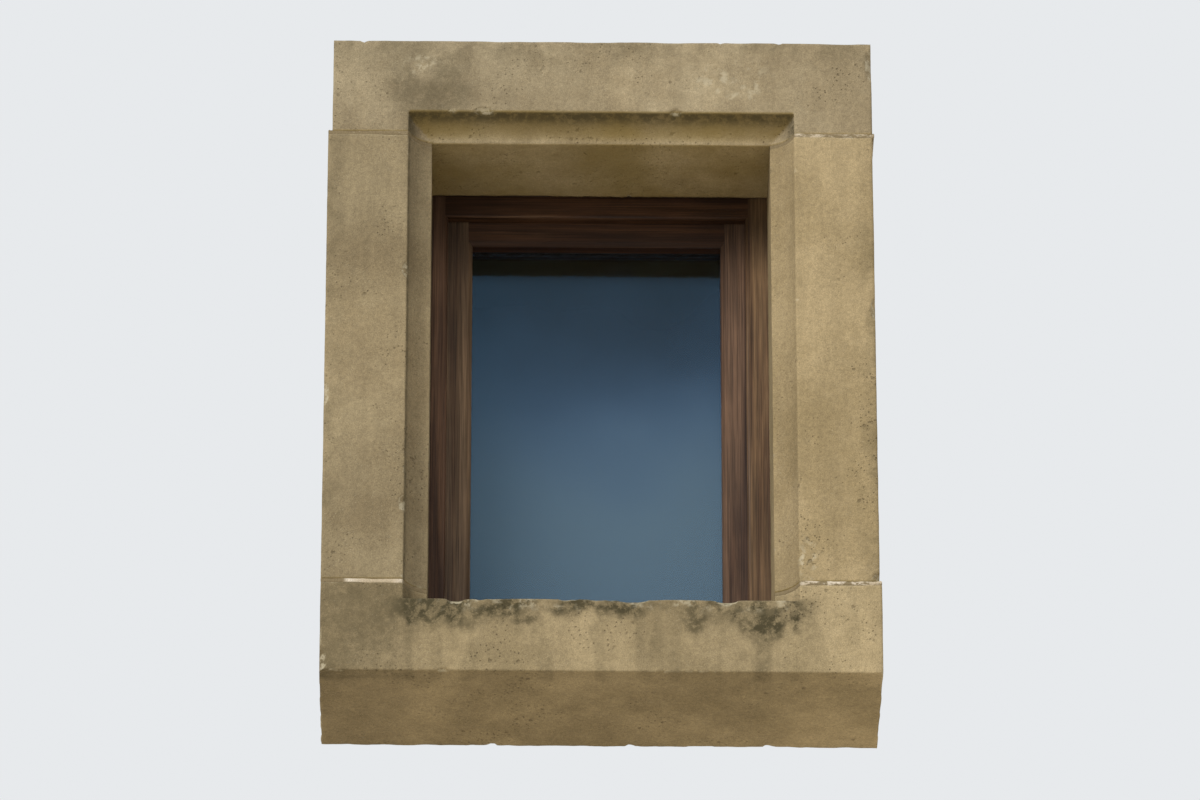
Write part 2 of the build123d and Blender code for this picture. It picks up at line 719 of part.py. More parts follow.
def sash_rail(sight_z, body_z, lip_z, into_rail):
    """A rail between the stiles; into_rail is +1 for the top rail and -1 for the bottom one."""
    with BuildPart() as rail:
        with BuildSketch(Plane.YZ.offset(FRAME_OFFSET - GLASS_HALF_REBATE)) as section:
            with BuildLine():
                Polyline(
                    (SASH_Y + SASH_MOULD, sight_z),
                    (SASH_Y, sight_z + into_rail * SASH_MOULD),
                    (SASH_Y, body_z),
                    (LIP_Y, body_z),
                    (LIP_Y, lip_z),
                    (SASH_BACK_Y, lip_z),
                    (SASH_BACK_Y, sight_z + into_rail * GLASS_REBATE),
                    (GLASS_REBATE_Y, sight_z + into_rail * GLASS_REBATE),
                    (GLASS_REBATE_Y, sight_z),
                    close=True,
                )
            make_face()
            room_corners = section.vertices().filter_by_position(Axis.X, SASH_BACK_Y, SASH_BACK_Y)
            fillet(room_corners.sort_by(Axis.Y)[0 if into_rail < 0 else -1], radius=SASH_EDGE_ROUND)
        extrude(amount=2 * GLASS_HALF_REBATE)
        add(sash_hinge_stile.part, mode=Mode.SUBTRACT)
        add(sash_lock_stile.part, mode=Mode.SUBTRACT)
    return rail


sash_top_rail = sash_rail(GLASS_TOP_Z, SASH_TOP_Z, LIP_TOP_Z, 1)
sash_bottom_rail = sash_rail(GLASS_BASE_Z, SASH_BASE_Z, LIP_BASE_Z, -1)
for side, stile in ((-1, sash_hinge_stile), (1, sash_lock_stile)):
    with sash_top_rail:
        sash_tenon(side, *TOP_TENON, Mode.ADD)
    with sash_bottom_rail:
        sash_tenon(side, *BOTTOM_TENON, Mode.ADD)
    with stile:
        sash_tenon(side, *TOP_TENON, Mode.SUBTRACT)
        sash_tenon(side, *BOTTOM_TENON, Mode.SUBTRACT)

# Weather bar: throws water off the foot of the sash, over the frame's upstand
bar_base_z = UPSTAND_Z + BAR_CLEARANCE
bar_nose_y = SASH_Y - BAR_PROJECTION
bar_half_length = FRAME_HALF_SIGHT - BAR_END_GAP
with BuildPart() as weather_bar:
    with BuildSketch(Plane.YZ.offset(FRAME_OFFSET - bar_half_length)):
        with BuildLine():
            Polyline(
                (SASH_Y, bar_base_z + BAR_HEIGHT),
                (SASH_Y, bar_base_z),
                (bar_nose_y, bar_base_z),
                (bar_nose_y, bar_base_z + BAR_NOSE),
            )
            RadiusArc(
                (bar_nose_y, bar_base_z + BAR_NOSE),
                (SASH_Y, bar_base_z + BAR_HEIGHT),
                BAR_HEIGHT,
            )
        make_face()
        with Locations((bar_nose_y + DRIP_SETBACK, bar_base_z)):
            Circle(DRIP_RADIUS, mode=Mode.SUBTRACT)
    extrude(amount=2 * bar_half_length)
save(weather_bar, "weather_bar")


# Glazing
def pane(y_from):
    """One sheet of the double glazing."""
    with BuildPart() as sheet:
        block(
            (FRAME_OFFSET - PANE_HALF_WIDTH, y_from, PANE_BASE_Z),
            (FRAME_OFFSET + PANE_HALF_WIDTH, y_from + PANE, PANE_TOP_Z),
        )
    return sheet


def pane_ring(y_from, y_to, outer_inset, inner_inset):
    """A ring that follows the panes' edge."""
    with BuildPart() as band:
        ring(
            y_from,
            y_to,
            PANE_HALF_WIDTH - outer_inset,
            PANE_HALF_WIDTH - inner_inset,
            (PANE_BASE_Z + outer_inset, PANE_TOP_Z - outer_inset),
            (PANE_BASE_Z + inner_inset, PANE_TOP_Z - inner_inset),
        )
    return band


save(pane(OUTER_PANE_Y), "outer_pane")
save(pane(INNER_PANE_Y), "inner_pane")
save(pane_ring(SPACER_Y, INNER_PANE_Y, 0, EDGE_SEAL), "edge_sealant")
save(pane_ring(SPACER_Y, INNER_PANE_Y, EDGE_SEAL, EDGE_SEAL + SPACER_WIDTH), "spacer_frame")
save(pane_ring(GLASS_REBATE_Y, OUTER_PANE_Y, 0, GLASS_REBATE - GLASS_CLEARANCE), "glazing_tape")

with BuildPart() as setting_blocks:
    for block_x in (-PANE_HALF_WIDTH / 2, PANE_HALF_WIDTH / 2):
        block(
            (FRAME_OFFSET + block_x - BLOCK_LENGTH / 2, OUTER_PANE_Y, GLASS_REBATE_BASE_Z),
            (FRAME_OFFSET + block_x + BLOCK_LENGTH / 2, BEAD_Y, PANE_BASE_Z),
        )
save(setting_blocks, "setting_blocks")


def glazing_bead(outline):
    """A bead cut to mitres at both ends, with its room-side sight edge bevelled."""
    with BuildPart() as bead:
        with BuildSketch(Plane.XZ.offset(-BEAD_Y)):
            with BuildLine():
                Polyline(*outline, close=True)
            make_face()
        extrude(amount=-(SASH_BACK_Y - BEAD_Y))
        room_edges = bead.edges().filter_by_position(Axis.Y, SASH_BACK_Y, SASH_BACK_Y)
        sight_edge = room_edges.sort_by(SortBy.LENGTH)[-2]
        chamfer(sight_edge, length=BEAD_BEVEL)
    return bead


left_out = FRAME_OFFSET - GLASS_HALF_REBATE
left_in = FRAME_OFFSET - GLASS_HALF_SIGHT
right_in = FRAME_OFFSET + GLASS_HALF_SIGHT
right_out = FRAME_OFFSET + GLASS_HALF_REBATE
top_out = GLASS_REBATE_TOP_Z
top_in = GLASS_TOP_Z
base_in = GLASS_BASE_Z
base_out = GLASS_REBATE_BASE_Z
outer_corners = [(left_out, base_out), (right_out, base_out), (right_out, top_out), (left_out, top_out)]
inner_corners = [(left_in, base_in), (right_in, base_in), (right_in, top_in), (left_in, top_in)]
for corner, bead_side in enumerate(("bottom", "right", "top", "left")):
    following = (corner + 1) % len(outer_corners)
    bead_outline = (
        outer_corners[corner],
        outer_corners[following],
        inner_corners[following],
        inner_corners[corner],
    )
    save(glazing_bead(bead_outline), f"glazing_bead_{bead_side}")


# Hinges: each is a frame half with a fixed pin and a sash half that turns on it
def hinge_half(level, direction, shank_to_sash):
    """A knuckle with a domed tip and a screw-in shank; direction is +1 up, -1 down."""
    inner = level + direction * KNUCKLE_GAP / 2
    base = inner if direction > 0 else inner - KNUCKLE_LENGTH
    with BuildPart() as half:
        upright(PIVOT_X, PIVOT_Y, base, KNUCKLE_RADIUS, KNUCKLE_LENGTH)
        tip_edge = half.edges().filter_by(GeomType.CIRCLE).sort_by(Axis.Z)[-1 if direction > 0 else 0]
        fillet(tip_edge, radius=KNUCKLE_TIP)
        shank_z = hinge_shank_z(level, direction)
        if shank_to_sash:
            reach = SHANK_LENGTH + FRAME_OFFSET - LIP_HALF_WIDTH - PIVOT_X
            with Locations(Location((PIVOT_X, PIVOT_Y, shank_z), (0, 90, 0))):
                Cylinder(SHANK_RADIUS, reach, align=(Align.CENTER, Align.CENTER, Align.MIN))
        else:
            reach = SHANK_LENGTH + PIVOT_Y - FRAME_BACK_Y
            inward(PIVOT_X, PIVOT_Y - reach, shank_z, SHANK_RADIUS, reach)
        clearance = RUNNING_FIT if shank_to_sash else 0
        bore = HINGE_PIN_RADIUS + clearance
        bore_length = HINGE_PIN_LENGTH / 2 + clearance - KNUCKLE_GAP / 2
        bore_base = inner if direction > 0 else inner - bore_length
        upright(PIVOT_X, PIVOT_Y, bore_base, bore, bore_length, Mode.SUBTRACT)
    return half


for hinge_name, hinge_level in HINGE_LEVELS.items():
    save(hinge_half(hinge_level, -1, False), f"hinge_frame_half_{hinge_name}")
    save(hinge_half(hinge_level, 1, True), f"hinge_sash_half_{hinge_name}")
    with BuildPart() as hinge_pin:
        upright(PIVOT_X, PIVOT_Y, hinge_level - HINGE_PIN_LENGTH / 2, HINGE_PIN_RADIUS, HINGE_PIN_LENGTH)
    save(hinge_pin, f"hinge_pin_{hinge_name}")

with sash_hinge_stile:
    for level in HINGE_LEVELS.values():
        shank_start = (FRAME_OFFSET - LIP_HALF_WIDTH, PIVOT_Y, hinge_shank_z(level, 1))
        with Locations(Location(shank_start, (0, 90, 0))):
            Cylinder(
                SHANK_RADIUS + RUNNING_FIT,
                SHANK_LENGTH,
                align=(Align.CENTER, Align.CENTER, Align.MIN),
                mode=Mode.SUBTRACT,
            )

# Cremone bolt on the lock stile
guide_levels = {
    "rod_guide_top": LIP_TOP_Z - GUIDE_INSET,
    "rod_guide_upper": (LIP_TOP_Z - GUIDE_INSET + HANDLE_Z + CASE_HEIGHT / 2) / 2,
    "rod_guide_lower": (LIP_BASE_Z + GUIDE_INSET + HANDLE_Z - CASE_HEIGHT / 2) / 2,
    "rod_guide_bottom": LIP_BASE_Z + GUIDE_INSET,
}
guide_reach = GUIDE_WIDTH / 2 - SCREW_HEAD_RADIUS - CASE_ROUND
guide_points = [
    (LOCK_X + side * guide_reach, level) for level in guide_levels.values() for side in (-1, 1)
]
plate_reach_x = CASE_WIDTH / 2 - SCREW_HEAD_RADIUS * 2
plate_reach_z = (CASE_HEIGHT + PLATE_EAR) / 2
plate_points = [
    (LOCK_X + side * plate_reach_x, HANDLE_Z + end * plate_reach_z) for side in (-1, 1) for end in (-1, 1)
]
GUIDE_BACK_Y = SASH_BACK_Y + GUIDE_WALL

with sash_lock_stile:
    cut_screws(guide_points, GUIDE_BACK_Y)
    cut_screws(plate_points, PLATE_Y)

save(sash_hinge_stile, "sash_hinge_stile")
save(sash_lock_stile, "sash_lock_stile")
save(sash_top_rail, "sash_top_rail")
save(sash_bottom_rail, "sash_bottom_rail")

with BuildPart() as cremone_backplate:
    with BuildSketch(Plane.XZ.offset(-SASH_BACK_Y)):
        with Locations((LOCK_X, HANDLE_Z)):
            RectangleRounded(CASE_WIDTH, CASE_HEIGHT + 2 * PLATE_EAR, CASE_CORNER)
            Circle(PIVOT_RADIUS + RUNNING_FIT, mode=Mode.SUBTRACT)
    extrude(amount=-PLATE)
    cut_screws(plate_points, PLATE_Y)
save(cremone_backplate, "cremone_backplate")

with BuildPart() as cremone_case:
    with BuildSketch(Plane.XZ.offset(-PLATE_Y)):
        with Locations((LOCK_X, HANDLE_Z)):
            RectangleRounded(CASE_WIDTH, CASE_HEIGHT, CASE_CORNER)
    extrude(amount=-CASE_DEPTH)
    front_edges = cremone_case.edges().filter_by_position(Axis.Y, CASE_Y, CASE_Y)
    fillet(front_edges, radius=CASE_ROUND)
    with BuildSketch(Plane.XZ.offset(-PLATE_Y)):
        with Locations((LOCK_X, HANDLE_Z)):
            RectangleRounded(
                CASE_WIDTH - 2 * CASE_WALL,
                CASE_HEIGHT - 2 * CASE_WALL,
                CASE_CORNER - CASE_WALL,
            )
    extrude(amount=-(CASE_DEPTH - CASE_WALL), mode=Mode.SUBTRACT)
    inward(LOCK_X, PLATE_Y, HANDLE_Z, SPINDLE_RADIUS + RUNNING_FIT, CASE_DEPTH, Mode.SUBTRACT)
    upright(
        LOCK_X,
        ROD_Y,
        HANDLE_Z - CASE_HEIGHT / 2,
        ROD_RADIUS + RUNNING_FIT,
        CASE_HEIGHT,
        Mode.SUBTRACT,
    )
save(cremone_case, "cremone_case")

# Pinion: involute teeth from the base circle out, thinned by the backlash
pressure = radians(PRESSURE_ANGLE)
base_radius = PITCH_RADIUS * cos(pressure)
tip_radius = PITCH_RADIUS + TOOTH_MODULE
root_radius = PITCH_RADIUS - TOOTH_MODULE * (1 + ROOT_CLEARANCE)
half_tooth = (PITCH / 2 - BACKLASH) / 2
gear_y = ROD_Y - FACE_WIDTH / 2


def involute(angle):
    """The involute function of a pressure angle."""
    return tan(angle) - angle


def flank_angle(radius):
    """Half the angle that a pinion tooth covers at a radius."""
    at_base = half_tooth / PITCH_RADIUS + involute(pressure)
    return at_base - involute(acos(base_radius / radius))


def tooth_points(centre):
    """Corners of one pinion tooth, from root to tip and back."""
    rise = (tip_radius - base_radius) / FLANK_STEPS
    radii = [base_radius + rise * step for step in range(FLANK_STEPS + 1)]
    half = [(root_radius - TOOTH_MODULE / 2, flank_angle(base_radius))]
    half += [(radius, flank_angle(radius)) for radius in radii]
    rising = [(radius, centre - angle) for radius, angle in half]
    falling = [(radius, centre + angle) for radius, angle in reversed(half)]
    return [
        (LOCK_X + radius * cos(angle), HANDLE_Z + radius * sin(angle))
        for radius, angle in rising + falling
    ]


with BuildPart() as pinion_spindle:
    with BuildSketch(Plane.XZ.offset(-gear_y)):
        with Locations((LOCK_X, HANDLE_Z)):
            Circle(root_radius)
        for tooth in range(PINION_TEETH):
            with BuildLine():
                Polyline(*tooth_points(2 * pi * tooth / PINION_TEETH), close=True)
            make_face()
    extrude(amount=-FACE_WIDTH)
    inward(LOCK_X, SASH_BACK_Y, HANDLE_Z, PIVOT_RADIUS, gear_y - SASH_BACK_Y)
    inward(LOCK_X, gear_y, HANDLE_Z, SPINDLE_RADIUS, CASE_Y - gear_y)
    block(
        (LOCK_X - SQUARE / 2, CASE_Y, HANDLE_Z - SQUARE / 2),
        (LOCK_X + SQUARE / 2, CASE_Y + ROSE_LENGTH + NECK_LENGTH / 2, HANDLE_Z + SQUARE / 2),
    )
save(pinion_spindle, "pinion_spindle")

# Racks: the right one lifts the upper rod, the left one, turned half round, drops the lower rod
rack_back_x = PITCH_RADIUS + TOOTH_MODULE * (1 + ROOT_CLEARANCE) + RACK_BACK
rack_root_x = PITCH_RADIUS + TOOTH_MODULE * (1 + ROOT_CLEARANCE)
rack_tip_x = PITCH_RADIUS - TOOTH_MODULE
arm_top = RACK_ARM_START + RACK_ARM
teeth_behind = round(PINION_TEETH * HANDLE_TURN / 360) + RACK_SPARE_TEETH


def rack_outline():
    """Corners of the right-hand rack about the spindle, teeth towards the pinion."""
    points = []
    for tooth in range(-teeth_behind, RACK_SPARE_TEETH):
        centre = (tooth + 0.5) * PITCH
        for x, spread in (
            (rack_root_x, half_tooth + (rack_root_x - PITCH_RADIUS) * tan(pressure)),
            (rack_tip_x, half_tooth - (PITCH_RADIUS - rack_tip_x) * tan(pressure)),
        ):
            points.append((x, centre - spread))
        for x, spread in (
            (rack_tip_x, half_tooth - (PITCH_RADIUS - rack_tip_x) * tan(pressure)),
            (rack_root_x, half_tooth + (rack_root_x - PITCH_RADIUS) * tan(pressure)),
        ):
            points.append((x, centre + spread))
    low = -teeth_behind * PITCH
    points = [(rack_root_x, low)] + points
    points += [
        (rack_root_x, RACK_ARM_START),
        (-ROD_RADIUS, RACK_ARM_START),
        (-ROD_RADIUS, arm_top),
        (rack_back_x, arm_top),
        (rack_back_x, low),
    ]
    return points


def rack(turn):
    """A rack with the arm that carries its rod; turn is +1 for the upper rod, -1 for the lower."""
    with BuildPart() as toothed:
        with BuildSketch(Plane.XZ.offset(-gear_y)):
            with BuildLine():
                Polyline(*[(LOCK_X + turn * x, HANDLE_Z + turn * z) for x, z in rack_outline()], close=True)
            make_face()
        extrude(amount=-FACE_WIDTH)
    return toothed


def rod(z_from, z_to, tip_index):
    """A round rod with its free end chamfered."""
    with BuildPart() as bar:
        upright(LOCK_X, ROD_Y, z_from, ROD_RADIUS, z_to - z_from)
        chamfer(bar.edges().filter_by(GeomType.CIRCLE).sort_by(Axis.Z)[tip_index], length=ROD_TIP)
    return bar


save(rack(1), "upper_rack")
save(rack(-1), "lower_rack")
save(rod(HANDLE_Z + arm_top, LIP_TOP_Z, -1), "upper_rod")
save(rod(LIP_BASE_Z, HANDLE_Z - arm_top, 0), "lower_rod")


def rod_guide(level):
    """A screwed bracket that the rod slides through."""
    with BuildPart() as guide:
        block(
            (LOCK_X - GUIDE_WIDTH / 2, SASH_BACK_Y, level - GUIDE_HEIGHT / 2),
            (LOCK_X + GUIDE_WIDTH / 2, GUIDE_BACK_Y, level + GUIDE_HEIGHT / 2),
        )
        outer = ROD_RADIUS + GUIDE_WALL
        bore = ROD_RADIUS + RUNNING_FIT
        upright(LOCK_X, ROD_Y, level - GUIDE_HEIGHT / 2, outer, GUIDE_HEIGHT)
        block(
            (LOCK_X - outer, SASH_BACK_Y - outer, level - GUIDE_HEIGHT / 2),
            (LOCK_X + outer, SASH_BACK_Y, level + GUIDE_HEIGHT / 2),
            Mode.SUBTRACT,
        )
        upright(LOCK_X, ROD_Y, level - GUIDE_HEIGHT / 2, bore, GUIDE_HEIGHT, Mode.SUBTRACT)
        points = [(LOCK_X + side * guide_reach, level) for side in (-1, 1)]
        cut_screws(points, GUIDE_BACK_Y)
    return guide


for guide_name, guide_level in guide_levels.items():
    save(rod_guide(guide_level), guide_name)


def keep(z_from, z_to, points):
    """A plate with a bored boss that the rod shoots into."""
    with BuildPart() as striker:
        block((LOCK_X - KEEP_WIDTH / 2, FRAME_BACK_Y, z_from), (LOCK_X + KEEP_WIDTH / 2, KEEP_BACK_Y, z_to))
        block(
            (LOCK_X - KEEP_BOSS / 2, FRAME_BACK_Y, z_from),
            (LOCK_X + KEEP_BOSS / 2, ROD_Y + ROD_RADIUS + KEEP_ENTRY + KEEP_PLATE, z_to),
        )
        boss_edges = striker.edges().filter_by(Axis.Z).sort_by(Axis.Y)[-2:]
        fillet(boss_edges, radius=CASE_ROUND * 2)
        upright(LOCK_X, ROD_Y, z_from, ROD_RADIUS + KEEP_ENTRY, z_to - z_from, Mode.SUBTRACT)
        cut_screws(points, KEEP_BACK_Y)
    return striker


save(keep(KEEP_UPPER_Z, KEEP_UPPER_Z + keep_height_upper, upper_keep_points), "upper_keep")
save(keep(KEEP_LOWER_Z - keep_height_lower, KEEP_LOWER_Z, lower_keep_points), "lower_keep")

# Handle: a rose, a neck and a lever that swells towards its rounded end
lever_y = CASE_Y + ROSE_LENGTH + NECK_LENGTH
with BuildPart() as handle:
    inward(LOCK_X, CASE_Y, HANDLE_Z, ROSE_RADIUS, ROSE_LENGTH)
    rose_edge = handle.edges().filter_by(GeomType.CIRCLE).sort_by(Axis.Y)[-1]
    fillet(rose_edge, radius=CASE_ROUND)
    inward(LOCK_X, CASE_Y + ROSE_LENGTH, HANDLE_Z, NECK_RADIUS, NECK_LENGTH)
    with BuildSketch(Plane.XY.offset(HANDLE_Z)):
        with BuildLine(Plane.XY.offset(HANDLE_Z)):
            Polyline(
                (LOCK_X - LEVER_LENGTH, lever_y),
                (LOCK_X + NECK_RADIUS, lever_y),
                (LOCK_X + NECK_RADIUS, lever_y + NECK_RADIUS),
            )
            Spline(
                (LOCK_X + NECK_RADIUS, lever_y + NECK_RADIUS),
                (LOCK_X, lever_y + LEVER_RADIUS),
                (LOCK_X - LEVER_LENGTH * 3 / 4, lever_y + LEVER_END_RADIUS),
                (LOCK_X - LEVER_LENGTH, lever_y),
            )
        make_face()
    revolve(axis=Axis((LOCK_X, lever_y, HANDLE_Z), (-1, 0, 0)))
    block(
        (LOCK_X - SQUARE / 2, CASE_Y, HANDLE_Z - SQUARE / 2),
        (LOCK_X + SQUARE / 2, CASE_Y + ROSE_LENGTH + NECK_LENGTH / 2, HANDLE_Z + SQUARE / 2),
        Mode.SUBTRACT,
    )
save(handle, "handle")

# Fixing straps across the frame, its packing and the stone
with BuildPart() as fixing_straps:
    for side in (1, -1):
        x_from, x_to = sorted(strap_edges(side))
        for level in strap_levels():
            block(
                (x_from, BACK_Y, level - STRAP_WIDTH / 2),
                (x_to, STRAP_BACK_Y, level + STRAP_WIDTH / 2),
            )
    fillet(fixing_straps.edges().filter_by(Axis.Y), radius=CASE_CORNER)
    for side in (1, -1):
        cut_screws(strap_points[side], STRAP_BACK_Y)
save(fixing_straps, "fixing_straps")

with BuildPart() as strap_screws:
    for side in (1, -1):
        add_screws(strap_points[side], STRAP_BACK_Y)
save(strap_screws, "strap_screws")

with BuildPart() as keep_screws:
    add_screws(upper_keep_points + lower_keep_points, KEEP_BACK_Y)
save(keep_screws, "keep_screws")

with BuildPart() as bolt_screws:
    add_screws(guide_points, GUIDE_BACK_Y)
    add_screws(plate_points, PLATE_Y)
save(bolt_screws, "bolt_screws")
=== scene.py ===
"""Looks of the gable window: weathered stones, stained timber, dark glass and blackened ironmongery."""
import math

import bmesh
import bpy
import numpy as np
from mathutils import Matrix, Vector


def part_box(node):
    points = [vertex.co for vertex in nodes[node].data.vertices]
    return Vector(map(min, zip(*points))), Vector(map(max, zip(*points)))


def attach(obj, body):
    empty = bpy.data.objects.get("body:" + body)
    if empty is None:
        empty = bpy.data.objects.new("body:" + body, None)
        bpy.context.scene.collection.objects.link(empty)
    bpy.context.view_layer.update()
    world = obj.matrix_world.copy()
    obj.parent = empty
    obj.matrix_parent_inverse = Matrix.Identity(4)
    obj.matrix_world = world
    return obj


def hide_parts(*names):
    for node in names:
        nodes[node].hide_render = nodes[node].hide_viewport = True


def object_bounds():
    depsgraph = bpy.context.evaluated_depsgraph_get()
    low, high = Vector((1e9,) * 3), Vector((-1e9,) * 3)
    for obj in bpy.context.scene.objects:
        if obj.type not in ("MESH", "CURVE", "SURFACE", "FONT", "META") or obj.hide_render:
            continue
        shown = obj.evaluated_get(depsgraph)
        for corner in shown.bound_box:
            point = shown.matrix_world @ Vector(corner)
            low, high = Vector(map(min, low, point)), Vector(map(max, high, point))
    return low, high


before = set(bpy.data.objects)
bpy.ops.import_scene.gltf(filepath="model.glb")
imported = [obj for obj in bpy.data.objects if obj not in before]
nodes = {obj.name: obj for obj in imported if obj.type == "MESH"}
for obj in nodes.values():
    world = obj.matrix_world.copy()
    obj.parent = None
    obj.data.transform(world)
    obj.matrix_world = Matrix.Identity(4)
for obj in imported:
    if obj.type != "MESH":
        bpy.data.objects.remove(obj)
cad_box = [list(corner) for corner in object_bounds()]

MM = 0.001

# Planes and levels of the surround, read from its nodes, in metres
LINTEL_LOW, LINTEL_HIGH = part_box("stone_lintel")
JAMB_LOW, JAMB_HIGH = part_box("stone_jamb_left")
FACE_Y, BACK_Y = LINTEL_LOW.y, LINTEL_HIGH.y
NIB_BACK_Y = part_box("bedding_mastic")[0].y
HALF_SURROUND = LINTEL_HIGH.x
HALF_OPENING = -JAMB_HIGH.x
SOFFIT_Z, TOP_Z = LINTEL_LOW.z, LINTEL_HIGH.z
STOOL_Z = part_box("stone_sill")[1].z
LOWER_JOINT_Z = (STOOL_Z + JAMB_LOW.z) / 2
UPPER_JOINT_Z = (JAMB_HIGH.z + SOFFIT_Z) / 2
JOINT_HEIGHT = JAMB_LOW.z - STOOL_Z

# The hollow chamfer round the opening and the sill's front, as the stones are cut
CHAMFER = 48 * MM
HOLLOW = 9 * MM
SILL_FRONT_Z = 160 * MM
ARRIS_X = HALF_OPENING + CHAMFER
ARRIS_Z = SOFFIT_Z + CHAMFER

# Random fields over space, from an integer hash of each cell's corner
AXIS_FACTORS = np.array([374761393, 668265263, 2246822519])
SEED_FACTOR = 3266489917
SCRAMBLERS = ((15, 2654435761), (13, 1274126177))
WORD = 0xFFFFFFFF
VALUE_STEPS = 0xFFFF


def ease(values, low, high):
    """0 below low, 1 above high, and smooth between them."""
    share = np.clip((values - low) / (high - low), 0, 1)
    return share * share * (3 - 2 * share)


def lattice(points, size, seed):
    """Smooth random values from 0 to 1 at the points, over cells of that size."""
    grid = points / size
    cell = np.floor(grid).astype(np.int64)
    part = ease(grid - cell, 0, 1)
    total = np.zeros(len(points))
    for corner in range(8):
        step = np.array([corner >> axis & 1 for axis in range(3)])
        key = (cell + step) @ AXIS_FACTORS + seed * SEED_FACTOR
        for shift, factor in SCRAMBLERS:
            key = (key ^ (key >> shift)) * factor & WORD
        value = (key >> 8 & VALUE_STEPS) / VALUE_STEPS
        total += value * np.prod(np.where(step, part, 1 - part), axis=1)
    return total


def fractal(points, size, octaves, seed):
    """Layers of random values, each at half the size and weight of the one before, from 0 to 1."""
    total, weight = np.zeros(len(points)), 0.0
    for octave in range(octaves):
        share = 0.5 ** octave
        total += share * lattice(points, size * share, seed + octave)
        weight += share
    return total / weight


def near(points, spot, radius):
    """1 at a spot, falling smoothly to 0 at the radius."""
    return 1 - ease(np.linalg.norm((points - np.array(spot)) / np.array(radius), axis=1), 0.25, 1.0)


def drawn_out(points, share):
    """The places as seen from the front, with heights shrunk, so that a field over them runs in streaks."""
    return points * np.array([1, 0, share])


# Node materials


def tone(red, green, blue):
    """A colour of the photograph, 0 to 255, as a linear colour for a shader."""
    shares = [channel / 255 for channel in (red, green, blue)]
    linear = [s / 12.92 if s <= 0.04045 else ((s + 0.055) / 1.055) ** 2.4 for s in shares]
    return (*linear, 1.0)


class Nodes:
    """Short ways to add and link the nodes of one tree."""

    def __init__(self, tree):
        self.tree = tree

    def new(self, kind):
        return self.tree.nodes.new(kind)

    def put(self, socket, value):
        """Links a socket's value, or sets a plain one."""
        if isinstance(value, bpy.types.NodeSocket):
            self.tree.links.new(value, socket)
        else:
            socket.default_value = value

    def maths(self, operation, first, second):
        node = self.new("ShaderNodeMath")
        node.operation = operation
        self.put(node.inputs[0], first)
        self.put(node.inputs[1], second)
        return node.outputs[0]

    def upright(self, place):
        """The Z of a place."""
        node = self.new("ShaderNodeSeparateXYZ")
        self.put(node.inputs[0], place)
        return node.outputs["Z"]

    def coloured(self, kind, colour):
        """A plain shader of that kind."""
        node = self.new(kind)
        self.put(node.inputs["Color"], colour)
        return node.outputs[0]

    def choice(self, share, first, second):
        """The first shader where the share is 0, and the second where it is 1."""
        node = self.new("ShaderNodeMixShader")
        for socket, value in zip(node.inputs, (share, first, second)):
            self.put(socket, value)
        return node.outputs[0]


